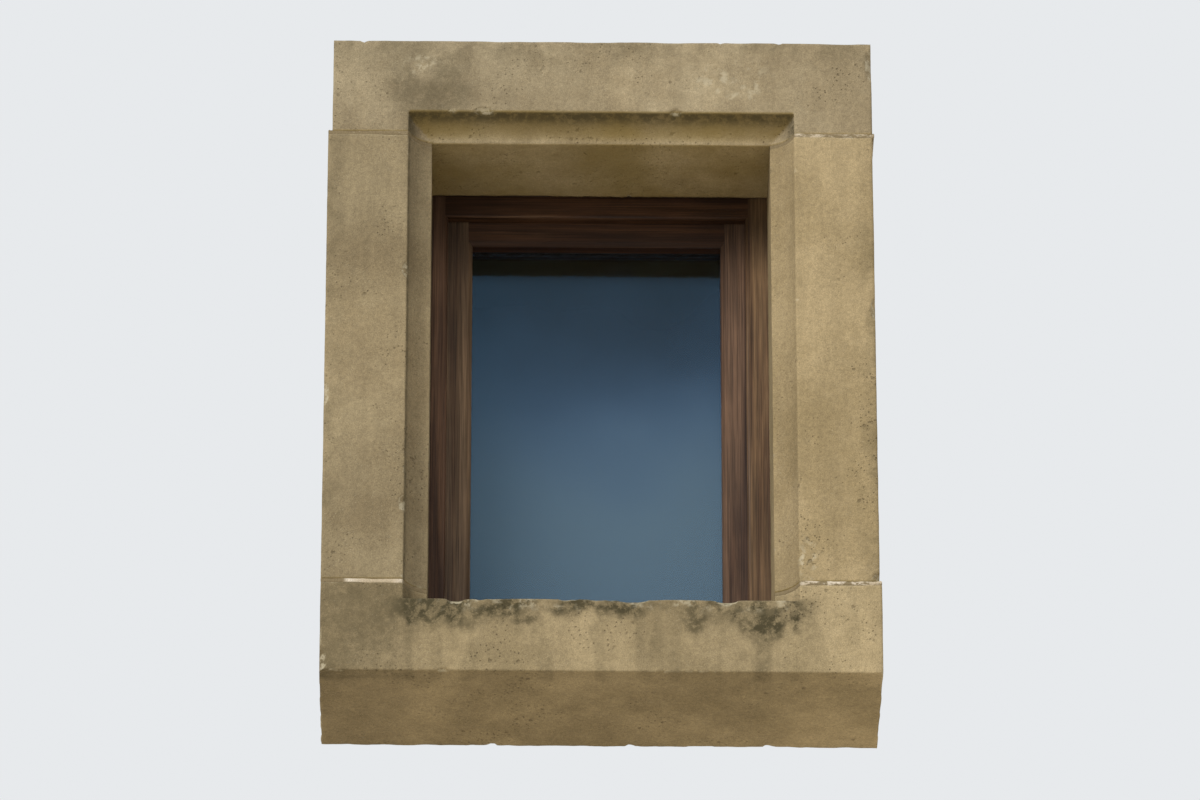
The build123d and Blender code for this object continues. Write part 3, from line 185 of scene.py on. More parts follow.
class Paint(Nodes):
    """A material of nodes over object coordinates, which stay with a piece when it moves."""

    def __init__(self, name, shift=0.0):
        self.material = bpy.data.materials.new(name)
        self.material.use_nodes = True
        super().__init__(self.material.node_tree)
        self.shader = self.tree.nodes["Principled BSDF"]
        self.place = self.unshifted = self.new("ShaderNodeTexCoord").outputs["Object"]
        if shift:
            self.place = self.moved((shift, shift * 1.7, shift * 2.3))

    def set(self, **values):
        """Sets or links the shader's sockets; spaces in their names are written as underscores."""
        for name, value in values.items():
            self.put(self.shader.inputs[name.replace("_", " ")], value)

    def moved(self, shift, stretch=(1, 1, 1)):
        mapping = self.new("ShaderNodeMapping")
        self.put(mapping.inputs["Vector"], self.place)
        mapping.inputs["Location"].default_value = shift
        mapping.inputs["Scale"].default_value = stretch
        return mapping.outputs["Vector"]

    def stretched(self, stretch):
        """The same place with each axis scaled, so that a pattern is drawn out along the smallest."""
        return self.moved((0, 0, 0), stretch)

    def noise(self, scale, detail=4.0, rough=0.55, place=None, twist=0.0):
        """A noise from 0 to 1 with that many waves a metre."""
        node = self.new("ShaderNodeTexNoise")
        self.put(node.inputs["Vector"], place or self.place)
        node.inputs["Scale"].default_value = scale
        node.inputs["Detail"].default_value = detail
        node.inputs["Roughness"].default_value = rough
        node.inputs["Distortion"].default_value = twist
        return node.outputs["Fac"]

    def cells(self, scale, place=None):
        """The distance from the middle of the nearest cell, with that many cells a metre."""
        node = self.new("ShaderNodeTexVoronoi")
        self.put(node.inputs["Vector"], place or self.place)
        node.inputs["Scale"].default_value = scale
        return node.outputs["Distance"]

    def spread(self, value, low, high, to_low=0.0, to_high=1.0):
        """Maps low to high smoothly onto another range and clamps what lies outside."""
        node = self.new("ShaderNodeMapRange")
        node.interpolation_type = "SMOOTHSTEP"
        self.put(node.inputs["Value"], value)
        for name, number in zip(("From Min", "From Max", "To Min", "To Max"), (low, high, to_low, to_high)):
            node.inputs[name].default_value = number
        return node.outputs["Result"]

    def times(self, first, second):
        return self.maths("MULTIPLY", first, second)

    def mix(self, share, first, second, way="MIX"):
        node = self.new("ShaderNodeMix")
        node.data_type = "RGBA"
        node.blend_type = way
        self.put(node.inputs[0], share)
        self.put(node.inputs[6], first)
        self.put(node.inputs[7], second)
        return node.outputs[2]

    def shaded(self, colour, value):
        """The colour multiplied by a grey value."""
        return self.mix(1.0, colour, value, "MULTIPLY")

    def field(self, name):
        """A number that the mesh holds at each of its points."""
        node = self.new("ShaderNodeAttribute")
        node.attribute_name = name
        return node.outputs["Fac"]

    def height(self):
        """Height above the window's foot."""
        return self.upright(self.unshifted)

    def bumps(self, *layers):
        """Adds relief from (height, depth in metres) layers, one over another."""
        normal = None
        for value, depth in layers:
            node = self.new("ShaderNodeBump")
            node.inputs["Distance"].default_value = depth
            self.put(node.inputs["Height"], value)
            if normal:
                self.put(node.inputs["Normal"], normal)
            normal = node.outputs["Normal"]
        self.set(Normal=normal)


PALE_CHIP = tone(206, 194, 164)
DARK_PIT = tone(84, 70, 47)
# The mould's tone, also used for the painted shadow lines behind the front arrises
MOULD_AND_PAINTED_SHADOW = tone(80, 72, 50)
ALGAE = tone(150, 128, 70)

# Heights between which the lintel's painted shade deepens on the uprights and the glass's painted sky
# reflection thins out
SHADE_FROM_Z, SHADE_TO_Z = 1.02, 1.17
REFLECTION_FULL_TO_Z, REFLECTION_GONE_FROM_Z = 0.42, 1.10


def stone_flecks(p):
    """Small pale grains, in zones."""
    zone = p.spread(p.noise(18, 4), 0.46, 0.6)
    return p.times(p.spread(p.cells(190), 0.06, 0.2, 1.0, 0.0), zone)


def stone_pits(p):
    """Small round pits, and larger ragged ones in the middle of the same zones."""
    zone = p.spread(p.noise(9, 4, 0.6, p.moved((3, 1, 7))), 0.47, 0.62)
    small = p.times(p.spread(p.cells(120, p.moved((5, 2, 4))), 0.08, 0.26, 1.0, 0.0), zone)
    ragged = p.maths("ADD", p.cells(34, p.moved((8, 3, 1))), p.times(p.noise(150, 4, 0.7), 0.3))
    large = p.times(p.spread(ragged, 0.2, 0.31, 1.0, 0.0), p.spread(zone, 0.3, 0.9))
    return p.maths("MAXIMUM", small, large)


def stone_paint(name, dark, light, seed):
    """Fine-grained ochre limestone; the mesh's fields place its tint with painted shade and light, algae,
    mould with painted shadow lines, and worn arrises.
    """
    p = Paint(name, seed)
    clouds = p.spread(p.noise(4.2, 7, 0.66), 0.36, 0.64)
    runs = p.noise(20, 6, 0.7, p.stretched((1, 1, 0.14)))
    mottle = p.noise(130, 7, 0.78)
    grain = p.noise(520, 4, 0.75)
    pits = stone_pits(p)
    # This field holds the stone's tone together with painted shade and painted light
    colour = p.shaded(p.mix(clouds, dark, light), p.field("tone_and_painted_light"))
    colour = p.shaded(colour, p.spread(runs, 0.34, 0.66, 0.92, 1.06))
    colour = p.shaded(colour, p.spread(mottle, 0.32, 0.68, 0.86, 1.12))
    colour = p.shaded(colour, p.spread(grain, 0.28, 0.72, 0.80, 1.18))
    colour = p.mix(p.times(stone_flecks(p), 0.5), colour, PALE_CHIP)
    colour = p.mix(p.times(pits, 0.42), colour, DARK_PIT)
    growth = p.spread(p.noise(7, 3, 0.5), 0.3, 0.7, 0.42, 0.74)
    colour = p.mix(p.times(p.field("algae"), growth), colour, ALGAE)
    # Mould, and the painted shadow lines behind the front arrises, in blotches
    blotch = p.spread(p.noise(55, 8, 0.76), 0.40, 0.55, 0.45, 1.0)
    colour = p.mix(p.times(p.field("stain_and_painted_shadow"), blotch), colour, MOULD_AND_PAINTED_SHADOW)
    edge = p.times(p.field("wear"), p.spread(p.noise(60, 5, 0.7), 0.44, 0.56))
    colour = p.mix(p.times(edge, 0.62), colour, PALE_CHIP)
    p.set(Base_Color=colour, Roughness=p.spread(mottle, 0.3, 0.7, 0.84, 0.97), Specular_IOR_Level=0.2)
    p.bumps(
        (p.noise(48, 8, 0.62), 2.6 * MM),
        (p.noise(210, 6, 0.75), 1.0 * MM),
        (grain, 0.4 * MM),
        (p.maths("SUBTRACT", 1.0, pits), 1.6 * MM),
    )
    return p.material


def mortar_paint(name, low, high, masked=True):
    """Lime mortar with coarse sand: pale where a noise passes low to high, else as dull as stone."""
    p = Paint(name)
    sand = p.noise(420, 4, 0.75)
    pale = p.spread(p.noise(46, 6, 0.7, p.stretched((1, 1, 2.2))), low, high)
    if masked:
        pale = p.times(pale, p.field("lime"))
    clouds = p.spread(p.noise(16, 4), 0.35, 0.65)
    lime = p.mix(clouds, tone(208, 190, 160), tone(238, 224, 202))
    colour = p.mix(pale, tone(146, 129, 98), lime)
    colour = p.shaded(colour, p.spread(sand, 0.3, 0.7, 0.74, 1.1))
    grit = p.spread(p.cells(260), 0.1, 0.3, 1.0, 0.0)
    colour = p.mix(p.times(grit, 0.35), colour, tone(120, 104, 78))
    p.set(Base_Color=colour, Roughness=0.95, Specular_IOR_Level=0.2)
    p.bumps((sand, 0.8 * MM), (p.noise(120, 5, 0.65), 1.0 * MM))
    return p.material


def timber_paint(name, along, dark, light, seed):
    """Brown-stained timber; along is the axis that its grain follows."""
    p = Paint(name, seed)

    def grained(share):
        """Places drawn out along the grain."""
        return p.stretched(tuple(share if axis == along else 1.0 for axis in "xyz"))

    drawn, fine = grained(0.035), grained(0.012)
    figure = p.noise(34, 5, 0.6, drawn, 0.5)
    pores = p.noise(420, 4, 0.65, fine)
    rings = p.noise(120, 4, 0.6, drawn, 0.3)
    patches = p.noise(5, 3)
    colour = p.mix(p.spread(figure, 0.34, 0.66), dark, light)
    colour = p.shaded(colour, p.spread(rings, 0.3, 0.7, 0.8, 1.15))
    colour = p.shaded(colour, p.spread(pores, 0.35, 0.62, 0.55, 1.12))
    colour = p.shaded(colour, p.spread(patches, 0.35, 0.65, 0.85, 1.12))
    # Painted shade: the uprights darken towards their tops, as under the lintel
    if along == "z":
        colour = p.shaded(colour, p.spread(p.height(), SHADE_FROM_Z, SHADE_TO_Z, 1.0, 0.55))
    worn = p.times(p.spread(p.noise(26, 5, 0.7, drawn), 0.56, 0.72), p.spread(pores, 0.45, 0.6))
    colour = p.mix(p.times(worn, 0.45), colour, tone(150, 118, 88))
    sheen = p.spread(p.noise(60, 4, 0.6, drawn), 0.3, 0.7, 0.42, 0.66)
    p.set(Base_Color=colour, Roughness=sheen, Specular_IOR_Level=0.24)
    p.bumps((pores, 0.35 * MM), (rings, 0.4 * MM))
    return p.material


def glass_paint(name, cover):
    """Coated glass painted dark as an unlit room behind it, with a blue reflection, and a painted sky
    reflection that thickens and greys downwards.
    """
    p = Paint(name)
    # Painted sky reflection, blue-grey low down and gone towards the top with a wavy edge, over a dark
    # brown painted for the unlit room
    painted_reflection_waves = p.spread(p.noise(2.4, 3, 0.45, p.moved((0.35, 0.0, 0.2))), 0.3, 0.7, -0.07, 0.07)
    low = p.spread(p.maths("ADD", p.height(), painted_reflection_waves), REFLECTION_FULL_TO_Z, REFLECTION_GONE_FROM_Z, 1.0, 0.0)
    bloom = p.mix(low, tone(108, 144, 190), tone(110, 131, 146))
    p.set(
        Base_Color=p.mix(low, tone(34, 25, 15), bloom),
        Roughness=0.05,
        IOR=1.62,
        Specular_IOR_Level=0.82,
        Specular_Tint=(0.30, 0.65, 1.0, 1.0),
        Alpha=cover,
    )
    return p.material


def iron_paint():
    """Black wax finish over cast and forged iron, rubbed through in places."""
    p = Paint("black_iron")
    skin = p.noise(90, 5, 0.6)
    rub = p.times(p.spread(p.noise(28, 4, 0.6), 0.55, 0.7), 0.6)
    colour = p.mix(p.spread(skin, 0.3, 0.7), (0.012, 0.012, 0.013, 1), (0.035, 0.034, 0.034, 1))
    colour = p.mix(rub, colour, (0.10, 0.085, 0.07, 1))
    p.set(Base_Color=colour, Roughness=p.spread(skin, 0.3, 0.7, 0.34, 0.58), Metallic=0.35)
    p.bumps((p.noise(210, 4, 0.6), 0.3 * MM), (skin, 0.5 * MM))
    return p.material


def steel_paint():
    """Zinc-plated steel with a soft mottled bloom."""
    p = Paint("plated_steel")
    bloom = p.spread(p.noise(70, 5, 0.65), 0.32, 0.68)
    p.set(
        Base_Color=p.mix(bloom, (0.30, 0.29, 0.27, 1), (0.52, 0.51, 0.48, 1)),
        Roughness=p.spread(p.noise(160, 4), 0.3, 0.7, 0.28, 0.5),
        Metallic=1.0,
    )
    p.bumps((p.noise(400, 3), 0.12 * MM))
    return p.material


def plain_paint(name, dark, light, roughness, metallic=0.0):
    """A small hidden piece: two near tones, a fine grain and a little relief."""
    p = Paint(name)
    grain = p.spread(p.noise(80, 4, 0.6), 0.3, 0.7)
    p.set(Base_Color=p.mix(grain, dark, light), Roughness=roughness, Metallic=metallic)
    p.bumps((p.noise(320, 3), 0.2 * MM))
    return p.material


# Meshes


def link(name, data):
    """An object of that name in the scene."""
    piece = bpy.data.objects.new(name, data)
    bpy.context.scene.collection.objects.link(piece)
    return piece


def read(mesh, kind):
    """The places ("co") or directions ("normal") of a mesh's points."""
    values = np.zeros(len(mesh.vertices) * 3, np.float32)
    mesh.vertices.foreach_get(kind, values)
    return values.reshape(-1, 3).astype(float)


def save_field(mesh, name, values):
    """Keeps a number at each of a mesh's points, for Paint.field."""
    mesh.attributes.new(name, "FLOAT", "POINT").data.foreach_set("value", values.astype(np.float32))


def shade_smooth(mesh):
    mesh.polygons.foreach_set("use_smooth", [True] * len(mesh.polygons))


WELD = 0.01 * MM
NET_DEPTH = 8
NET_SCALE = 0.99


def dense_copy(node):
    """The node's solid as an even net of small quads that keeps its arrises."""
    mesh = nodes[node].data.copy()
    welded = bmesh.new()
    welded.from_mesh(mesh)
    bmesh.ops.remove_doubles(welded, verts=welded.verts, dist=WELD)
    welded.to_mesh(mesh)
    welded.free()
    source = link("dense_source", mesh)
    net = source.modifiers.new("net", "REMESH")
    net.mode = "SHARP"
    net.octree_depth = NET_DEPTH
    net.scale = NET_SCALE
    net.use_remove_disconnected = False
    dense = bpy.data.meshes.new_from_object(source.evaluated_get(bpy.context.evaluated_depsgraph_get()))
    bpy.data.objects.remove(source)
    return dense


def averaged(points, edges, rounds):
    """The points after each number of rounds in which every point moves halfway to its neighbours' mean."""
    first, second = edges.T
    count = np.bincount(edges.ravel(), minlength=len(points))[:, None]
    found, current = [], points
    for done in range(1, max(rounds) + 1):
        sums = np.stack(
            [
                np.bincount(first, current[second, axis], len(points))
                + np.bincount(second, current[first, axis], len(points))
                for axis in range(3)
            ],
            axis=1,
        )
        current = (current + sums / count) / 2
        if done in rounds:
            found.append(current)
    return found


def inward(shift, normals):
    """The part of a shift that takes material away."""
    outwards = np.maximum((shift * normals).sum(axis=1), 0)
    return shift - normals * outwards[:, None]


# Places on the stones, as fields from 0 to 1


def nowhere(points):
    return np.zeros(len(points))


def hidden_face(points, normals):
    """Faces that a wall would cover, which the mason leaves rough behind a dressed margin."""
    x, y, z = points.T
    sides = ease(np.abs(x), HALF_SURROUND - 3 * MM, HALF_SURROUND - 1 * MM)
    sides *= ease(np.abs(normals[:, 0]), 0.6, 0.95)
    back = ease(normals[:, 1], 0.6, 0.95)
    top = ease(z, TOP_Z - 3 * MM, TOP_Z - 1 * MM) * ease(normals[:, 2], 0.6, 0.95)
    base = 0.4 * ease(-z, -3 * MM, -1 * MM) * ease(-normals[:, 2], 0.6, 0.95)
    margin = ease(y, FACE_Y + 25 * MM, FACE_Y + 75 * MM)
    return np.clip(back + (sides + top + base) * margin, 0, 1)


def recessed(points, normals):
    """The chamfers and reveals, where the stone is painted darker as shade."""
    x, y, _ = points.T
    inside = ease(y, FACE_Y + 1 * MM, FACE_Y + 5 * MM) * ease(HALF_SURROUND - np.abs(x), 0, 8 * MM)
    return inside * ease(np.abs(normals[:, 0]) + np.maximum(-normals[:, 2], 0), 0.2, 0.5)


def painted_soffit_light(points, normals):
    """The underside of the lintel behind its chamfer, painted lighter as if lit from below."""
    z = points[:, 2]
    level = 1 - ease(z, SOFFIT_Z + 1 * MM, SOFFIT_Z + 5 * MM)
    return level * ease(z, UPPER_JOINT_Z, SOFFIT_Z - 3 * MM) * ease(-normals[:, 2], 0.5, 0.8)


def underside(points, normals):
    """What looks down into the opening, where algae grow."""
    return ease(-normals[:, 2], 0.2, 0.6) * (points[:, 2] > LOWER_JOINT_Z)


def painted_arris_shadow(points, normals, run):
    """The strip of chamfer just behind its front arris, where a dark shadow line is painted."""
    behind = points[:, 1] - FACE_Y
    strip = ease(behind, 0.5 * MM, 3 * MM) * (1 - ease(behind, run * 0.4, run))
    return strip * recessed(points, normals)


def sill_crumbling(points):
    """The sill's top front arris, which crumbles most."""
    x, y, z = points.T
    level = np.abs(z - SILL_FRONT_Z)
    across = ease(ARRIS_X - np.abs(x), 0, 20 * MM)
    return (1 - ease(level, 8 * MM, 34 * MM)) * across * (y < FACE_Y + 30 * MM)


# Stains and tints of each stone, with painted shadow lines, painted shade and a painted highlight, placed
# as the photograph shows them

# Middle and radii of the haze on the sill, the stained corner and the streaks on the lintel
SILL_HAZE = ((0.31, FACE_Y, 0.085), (0.14, 0.10, 0.11))
LINTEL_CORNER = ((-0.345, FACE_Y, 1.33), (0.13, 0.10, 0.10))
LINTEL_STREAKS = ((0.04, FACE_Y, 1.35), (0.07, 0.10, 0.09))

# Middle along X, half width, strength and run below the arris of each patch of mould
MOULD_PATCHES = [(-0.26, 0.14, 1.0, 0.066), (-0.01, 0.10, 1.0, 0.038), (0.285, 0.13, 0.85, 0.090)]


def sill_mould(points, below):
    """Scalloped patches of mould and a thin line that joins them, by the depth below the front arris."""
    x = points[:, 0]
    uneven = 0.5 + fractal(drawn_out(points, 0.25), 26 * MM, 3, 7)
    patches = np.zeros(len(points))
    for middle, half, strength, run in MOULD_PATCHES:
        reach = ease(half + 25 * MM - np.abs(x - middle), 0, 55 * MM)
        band = ease(below, -9 * MM, 2 * MM) * (1 - ease(below, run * uneven * 0.55, run * uneven * 1.15))
        patches = np.maximum(patches, strength * reach * band)
    line = ease(ARRIS_X - np.abs(x), -6 * MM, 14 * MM)
    line *= ease(below, -6 * MM, 2 * MM) * (1 - ease(below, 14 * MM, 30 * MM))
    broken = 0.55 + 0.45 * ease(fractal(points, 22 * MM, 4, 9), 0.34, 0.54)
    return np.maximum(patches, 0.5 * line) * broken


def sill_drips(points, below):
    """Faint runs down the middle of the sill's face."""
    drips = ease(fractal(drawn_out(points, 0.2), 36 * MM, 3, 27), 0.5, 0.7)
    return drips * ease(below, 30 * MM, 60 * MM) * ease(0.42 - np.abs(points[:, 0]), 0, 60 * MM)


def sill_stain(points, normals):
    """Mould, drips, a haze at the right, a streak below the left jamb's arris and a grey left stool."""
    x, y, z = points.T
    below = SILL_FRONT_Z - z
    stool = ease(-x, ARRIS_X - 15 * MM, ARRIS_X + 25 * MM)
    stool *= 0.6 + 0.4 * ease(fractal(points, 70 * MM, 3, 17), 0.35, 0.65)
    haze = near(points, *SILL_HAZE)
    haze *= ease(fractal(points, 40 * MM, 4, 37), 0.36, 0.58)
    streak = 1 - ease(np.abs(x + ARRIS_X - 12 * MM), 3 * MM, 14 * MM)
    faint = 0.26 * sill_drips(points, below) + 0.44 * stool + 0.4 * haze + 0.34 * streak
    front = ease(-y, -FACE_Y - 50 * MM, -FACE_Y - 30 * MM)
    return np.clip((sill_mould(points, below) + faint) * front, 0, 1)


def jamb_stain_and_painted_shadow(points, normals):
    """A faint grey bloom down the outer edges of the jambs, and a painted shadow line behind the left one's
    front arris.
    """
    x = points[:, 0]
    edge = ease(np.abs(x), HALF_SURROUND - 60 * MM, HALF_SURROUND)
    bloom = 0.3 * edge * ease(fractal(points, 50 * MM, 4, 33), 0.42, 0.62)
    return np.maximum(bloom, 0.6 * painted_arris_shadow(points, normals, 16 * MM) * (x < 0))


def lintel_stain_and_painted_shadow(points, normals):
    """Grey weathering along the lintel's top and over its left corner, and a painted shadow line behind its
    front arris.
    """
    top = ease(points[:, 2], TOP_Z - 90 * MM, TOP_Z)
    corner = near(points, *LINTEL_CORNER)
    uneven = ease(fractal(points, 60 * MM, 5, 35), 0.36, 0.56)
    grey = 0.42 * np.clip(0.8 * top + 1.3 * corner, 0, 1) * uneven
    return np.maximum(grey, 0.8 * painted_arris_shadow(points, normals, 34 * MM))


def sill_tint(points):
    """Dull at its left stool, and warm and pale at the right one."""
    x = points[:, 0]
    return 0.94 + 0.18 * ease(x, 0.30, 0.44) - 0.17 * ease(-x, 0.33, 0.42)


def left_jamb_tint(points):
    """Paler about mid-height, and dull towards both ends."""
    return 0.94 + 0.20 * ease(0.26 - np.abs(points[:, 2] - 0.70), 0, 0.20)


def right_jamb_tint_and_painted_shade(points):
    """Even, with painted shade darkening its chamfer."""
    return 1.02 - 0.10 * ease(points[:, 1], FACE_Y + 2 * MM, FACE_Y + 10 * MM)


def lintel_tint_and_painted_highlight(points):
    """Paler at its left end and towards the right, streaked, and with a painted highlight along its lower
    arris.
    """
    x, y, z = points.T
    streaks = near(points, *LINTEL_STREAKS)
    streaks *= ease(fractal(drawn_out(points, 0.2), 24 * MM, 3, 41), 0.4, 0.6)
    # Painted highlight along the lower arris of the chamfer
    painted_arris_highlight = ease(y, FACE_Y + 30 * MM, FACE_Y + 46 * MM) * ease(z, SOFFIT_Z + 1 * MM, SOFFIT_Z + 5 * MM)
    ends = 0.22 * ease(x, -0.30, 0.12) + 0.08 * ease(-x, 0.40, 0.48)
    return 0.96 + ends + 0.16 * streaks + 0.38 * painted_arris_highlight


# Stones: the CAD solids as dense meshes, worn back from their arrises

# Rounds of averaging that round an arris slightly, at a knock and at a break
WEAR_ROUNDS = (3, 14, 48)
DRESSED_RELIEF = 1.4 * MM
ROUGH_RELIEF = 5.0 * MM
PIT_DEPTH = 2.0 * MM
# Length at each end over which a stone is drawn in
DRAWN_IN_OVER = 70 * MM


def worn_back(mesh, points, normals, seed, chips, crumbled):
    """How far each point has gone in, by wear along the arrises, by knocks and by breaks at the chips."""
    edges = np.zeros(len(mesh.edges) * 2, np.int32)
    mesh.edges.foreach_get("vertices", edges)
    slight, middle, deep = averaged(points, edges.reshape(-1, 2), WEAR_ROUNDS)
    outer = ease(np.abs(points[:, 0]), HALF_SURROUND - 20 * MM, HALF_SURROUND - 5 * MM)
    wear = 0.15 + 0.6 * ease(fractal(points, 70 * MM, 3, seed), 0.4, 0.75)
    knocks = ease(fractal(points, 30 * MM, 2, seed + 10), 0.74, 0.84) * (1 - 0.8 * outer)
    broken = ease(fractal(points, 34 * MM, 3, seed + 20), 0.46, 0.66)
    knocks = np.maximum(knocks, 0.8 * crumbled * broken)
    ragged = 0.75 + 0.5 * fractal(points, 9 * MM, 2, seed + 30)
    breaks = np.zeros(len(points))
    for spot, radius in chips:
        breaks = np.maximum(breaks, ease(near(points, spot, radius) * ragged, 0.15, 0.75))
    shift = inward(slight - points, normals) * wear[:, None]
    shift += (inward(middle - points, normals) - shift) * knocks[:, None]
    shift += (inward(deep - points, normals) - shift) * breaks[:, None]
    return shift


def relief(points, normals, seed):
    """Depth of the mason's tooling: fine on dressed faces and coarse on hidden ones."""
    rough = hidden_face(points, normals)
    dressed = DRESSED_RELIEF * fractal(points, 48 * MM, 4, seed + 40)
    punched = ROUGH_RELIEF * fractal(points, 34 * MM, 3, seed + 50)
    punched *= ease(fractal(points, 21 * MM, 2, seed + 60), 0.3, 0.6)
    return dressed * (1 - rough) + punched * rough


def pit_field(points, pitted, seed):
    """Scattered pits, 0 to 1, round each of the pitted spots."""
    scattered = ease(fractal(points, 13 * MM, 2, seed + 70), 0.5, 0.62)
    pits = np.zeros(len(points))
    for spot, radius in pitted:
        pits = np.maximum(pits, near(points, spot, radius) * scattered)
    return pits


def drawn_in(points, left, right):
    """How far a stone's two ends stand back from the surround's sides, along X."""
    x = points[:, 0]
    shift = left * ease(-x, HALF_SURROUND - DRAWN_IN_OVER, HALF_SURROUND)
    return shift - right * ease(x, HALF_SURROUND - DRAWN_IN_OVER, HALF_SURROUND)


def weathered_stone(node, paint, seed, stain_and_painted_shadow, tone_and_painted_light, chips=(), pitted=(), ends=(0, 0), crumbling=nowhere):
    """A stone that stands for its CAD node: dressed, worn at the arrises, chipped, pitted and stained."""
    mesh = dense_copy(node)
    points, normals = read(mesh, "co"), read(mesh, "normal")
    crumbled = crumbling(points)
    shift = worn_back(mesh, points, normals, seed, chips, crumbled)
    pits = pit_field(points, pitted, seed)
    depth = relief(points, normals, seed) + PIT_DEPTH * pits
    moved = points + shift - normals * depth[:, None]
    moved[:, 0] += drawn_in(points, *ends)
    mesh.vertices.foreach_set("co", moved.astype(np.float32).ravel())
    shade_smooth(mesh)
    lost = ease(np.linalg.norm(shift, axis=1), 0.7 * MM, 2.2 * MM)
    flaked = crumbled * ease(fractal(points, 22 * MM, 3, seed + 80), 0.54, 0.64)
    # Painted shade: the chamfers and reveals 10% darker; painted light: the lintel's soffit up to 72%
    # lighter
    painted_shade_and_light = (1 - 0.10 * recessed(points, normals)) * (1 + 0.72 * painted_soffit_light(points, normals))
    save_field(mesh, "wear", np.clip(lost + 0.9 * pits + 0.8 * flaked, 0, 1))
    save_field(mesh, "algae", underside(points, normals))
    save_field(mesh, "stain_and_painted_shadow", stain_and_painted_shadow(points, normals))
    save_field(mesh, "tone_and_painted_light", tone_and_painted_light(points) * painted_shade_and_light)
    mesh.update()
    mesh.materials.clear()
    mesh.materials.append(paint)
    piece = link("weathered_" + node, mesh)
    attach(piece, "surround")
    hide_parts(node)


weathered_stone(
    "stone_lintel",
    stone_paint("lintel_stone", tone(148, 132, 103), tone(172, 156, 125), 1.0),
    seed=101,
    stain_and_painted_shadow=lintel_stain_and_painted_shadow,
    tone_and_painted_light=lintel_tint_and_painted_highlight,
    chips=[
        ((-0.235, FACE_Y, ARRIS_Z), (0.030, 0.020, 0.012)),
        ((0.150, FACE_Y, ARRIS_Z), (0.016, 0.014, 0.010)),
        ((HALF_SURROUND, FACE_Y, TOP_Z - 0.05), (0.020, 0.020, 0.050)),
    ],
    pitted=[
        ((0.262, FACE_Y, 1.348), (0.110, 0.020, 0.070)),
        ((-0.363, FACE_Y, 1.384), (0.050, 0.020, 0.035)),
    ],
    ends=(8 * MM, 4 * MM),
)
weathered_stone(
    "stone_jamb_left",
    stone_paint("left_jamb_stone", tone(146, 129, 98), tone(164, 147, 114), 2.0),
    seed=202,
    stain_and_painted_shadow=jamb_stain_and_painted_shadow,
    tone_and_painted_light=left_jamb_tint,
    chips=[
        ((-ARRIS_X, FACE_Y, 0.905), (0.012, 0.012, 0.022)),
        ((-ARRIS_X, FACE_Y, 0.372), (0.018, 0.018, 0.026)),
        ((-HALF_SURROUND, FACE_Y, 0.620), (0.014, 0.014, 0.040)),
    ],
)
weathered_stone(
    "stone_jamb_right",
    stone_paint("right_jamb_stone", tone(162, 142, 104), tone(182, 161, 122), 3.0),
    seed=303,
    stain_and_painted_shadow=jamb_stain_and_painted_shadow,
    tone_and_painted_light=right_jamb_tint_and_painted_shade,
    chips=[
        ((ARRIS_X, FACE_Y, 0.255), (0.016, 0.016, 0.030)),
        ((HALF_SURROUND, FACE_Y, 0.212), (0.022, 0.022, 0.014)),
        ((HALF_SURROUND, FACE_Y, 0.820), (0.012, 0.012, 0.035)),
    ],
    pitted=[((0.405, FACE_Y, 0.250), (0.030, 0.020, 0.070))],
    ends=(0, 4 * MM),
)
weathered_stone(
    "stone_sill",
    stone_paint("sill_stone", tone(158, 140, 105), tone(182, 162, 124), 4.0),
    seed=404,
    stain_and_painted_shadow=sill_stain,
    tone_and_painted_light=sill_tint,
    chips=[
        ((-0.285, FACE_Y, SILL_FRONT_Z), (0.024, 0.020, 0.016)),
        ((0.060, FACE_Y, SILL_FRONT_Z), (0.040, 0.020, 0.012)),
        ((0.245, FACE_Y, SILL_FRONT_Z), (0.030, 0.020, 0.014)),
        ((-HALF_SURROUND, FACE_Y, 0.020), (0.020, 0.020, 0.030)),
    ],
    crumbling=sill_crumbling,
)

# Mortar: the beds as they are, and flush pointing pressed into each joint
CHAMFER_STEPS = 9
PATH_STEP = 3 * MM
RIBBON_ROWS = 13
# Half the ribbon's height over the joint's, so that its edges lie in the stone
RIBBON_COVER = 1.1
FACE_SUNK = 0.5 * MM
FACE_UNEVEN = 0.9 * MM
EDGE_SUNK = 3.0 * MM
# How far out the lower left joint is still pale
LOWER_LEFT_PALE_TO = 495 * MM


def joint_path(side):
    """Plan of a joint's face, as evenly spaced points: outer side, front, hollow chamfer and reveal."""
    hollow = []
    for step in range(1, CHAMFER_STEPS):
        share = step / CHAMFER_STEPS
        into = 4 * HOLLOW * share * (1 - share) / math.sqrt(2)
        hollow.append((-ARRIS_X + CHAMFER * share - into, FACE_Y + CHAMFER * share + into))
    corners = [(-HALF_SURROUND, BACK_Y - 4 * MM), (-HALF_SURROUND, FACE_Y), (-ARRIS_X, FACE_Y)]
    corners += hollow + [(-HALF_OPENING, FACE_Y + CHAMFER), (-HALF_OPENING, NIB_BACK_Y - 1 * MM)]
    path = []
    for start, end in zip(corners, corners[1:]):
        count = max(1, round(math.dist(start, end) / PATH_STEP))
        path += [tuple(s + (e - s) * i / count for s, e in zip(start, end)) for i in range(count)]
    path.append(corners[-1])
    return np.array([(x * -side, y) for x, y in path])


def ribbon_faces(length, side):
    """Quads between the ribbon's rows of that many points, turned so that they face outwards."""
    faces = []
    for row in range(RIBBON_ROWS - 1):
        for i in range(length - 1):
            a = row * length + i
            quad = (a, a + 1, a + length + 1, a + length)
            faces.append(quad if side < 0 else quad[::-1])
    return faces


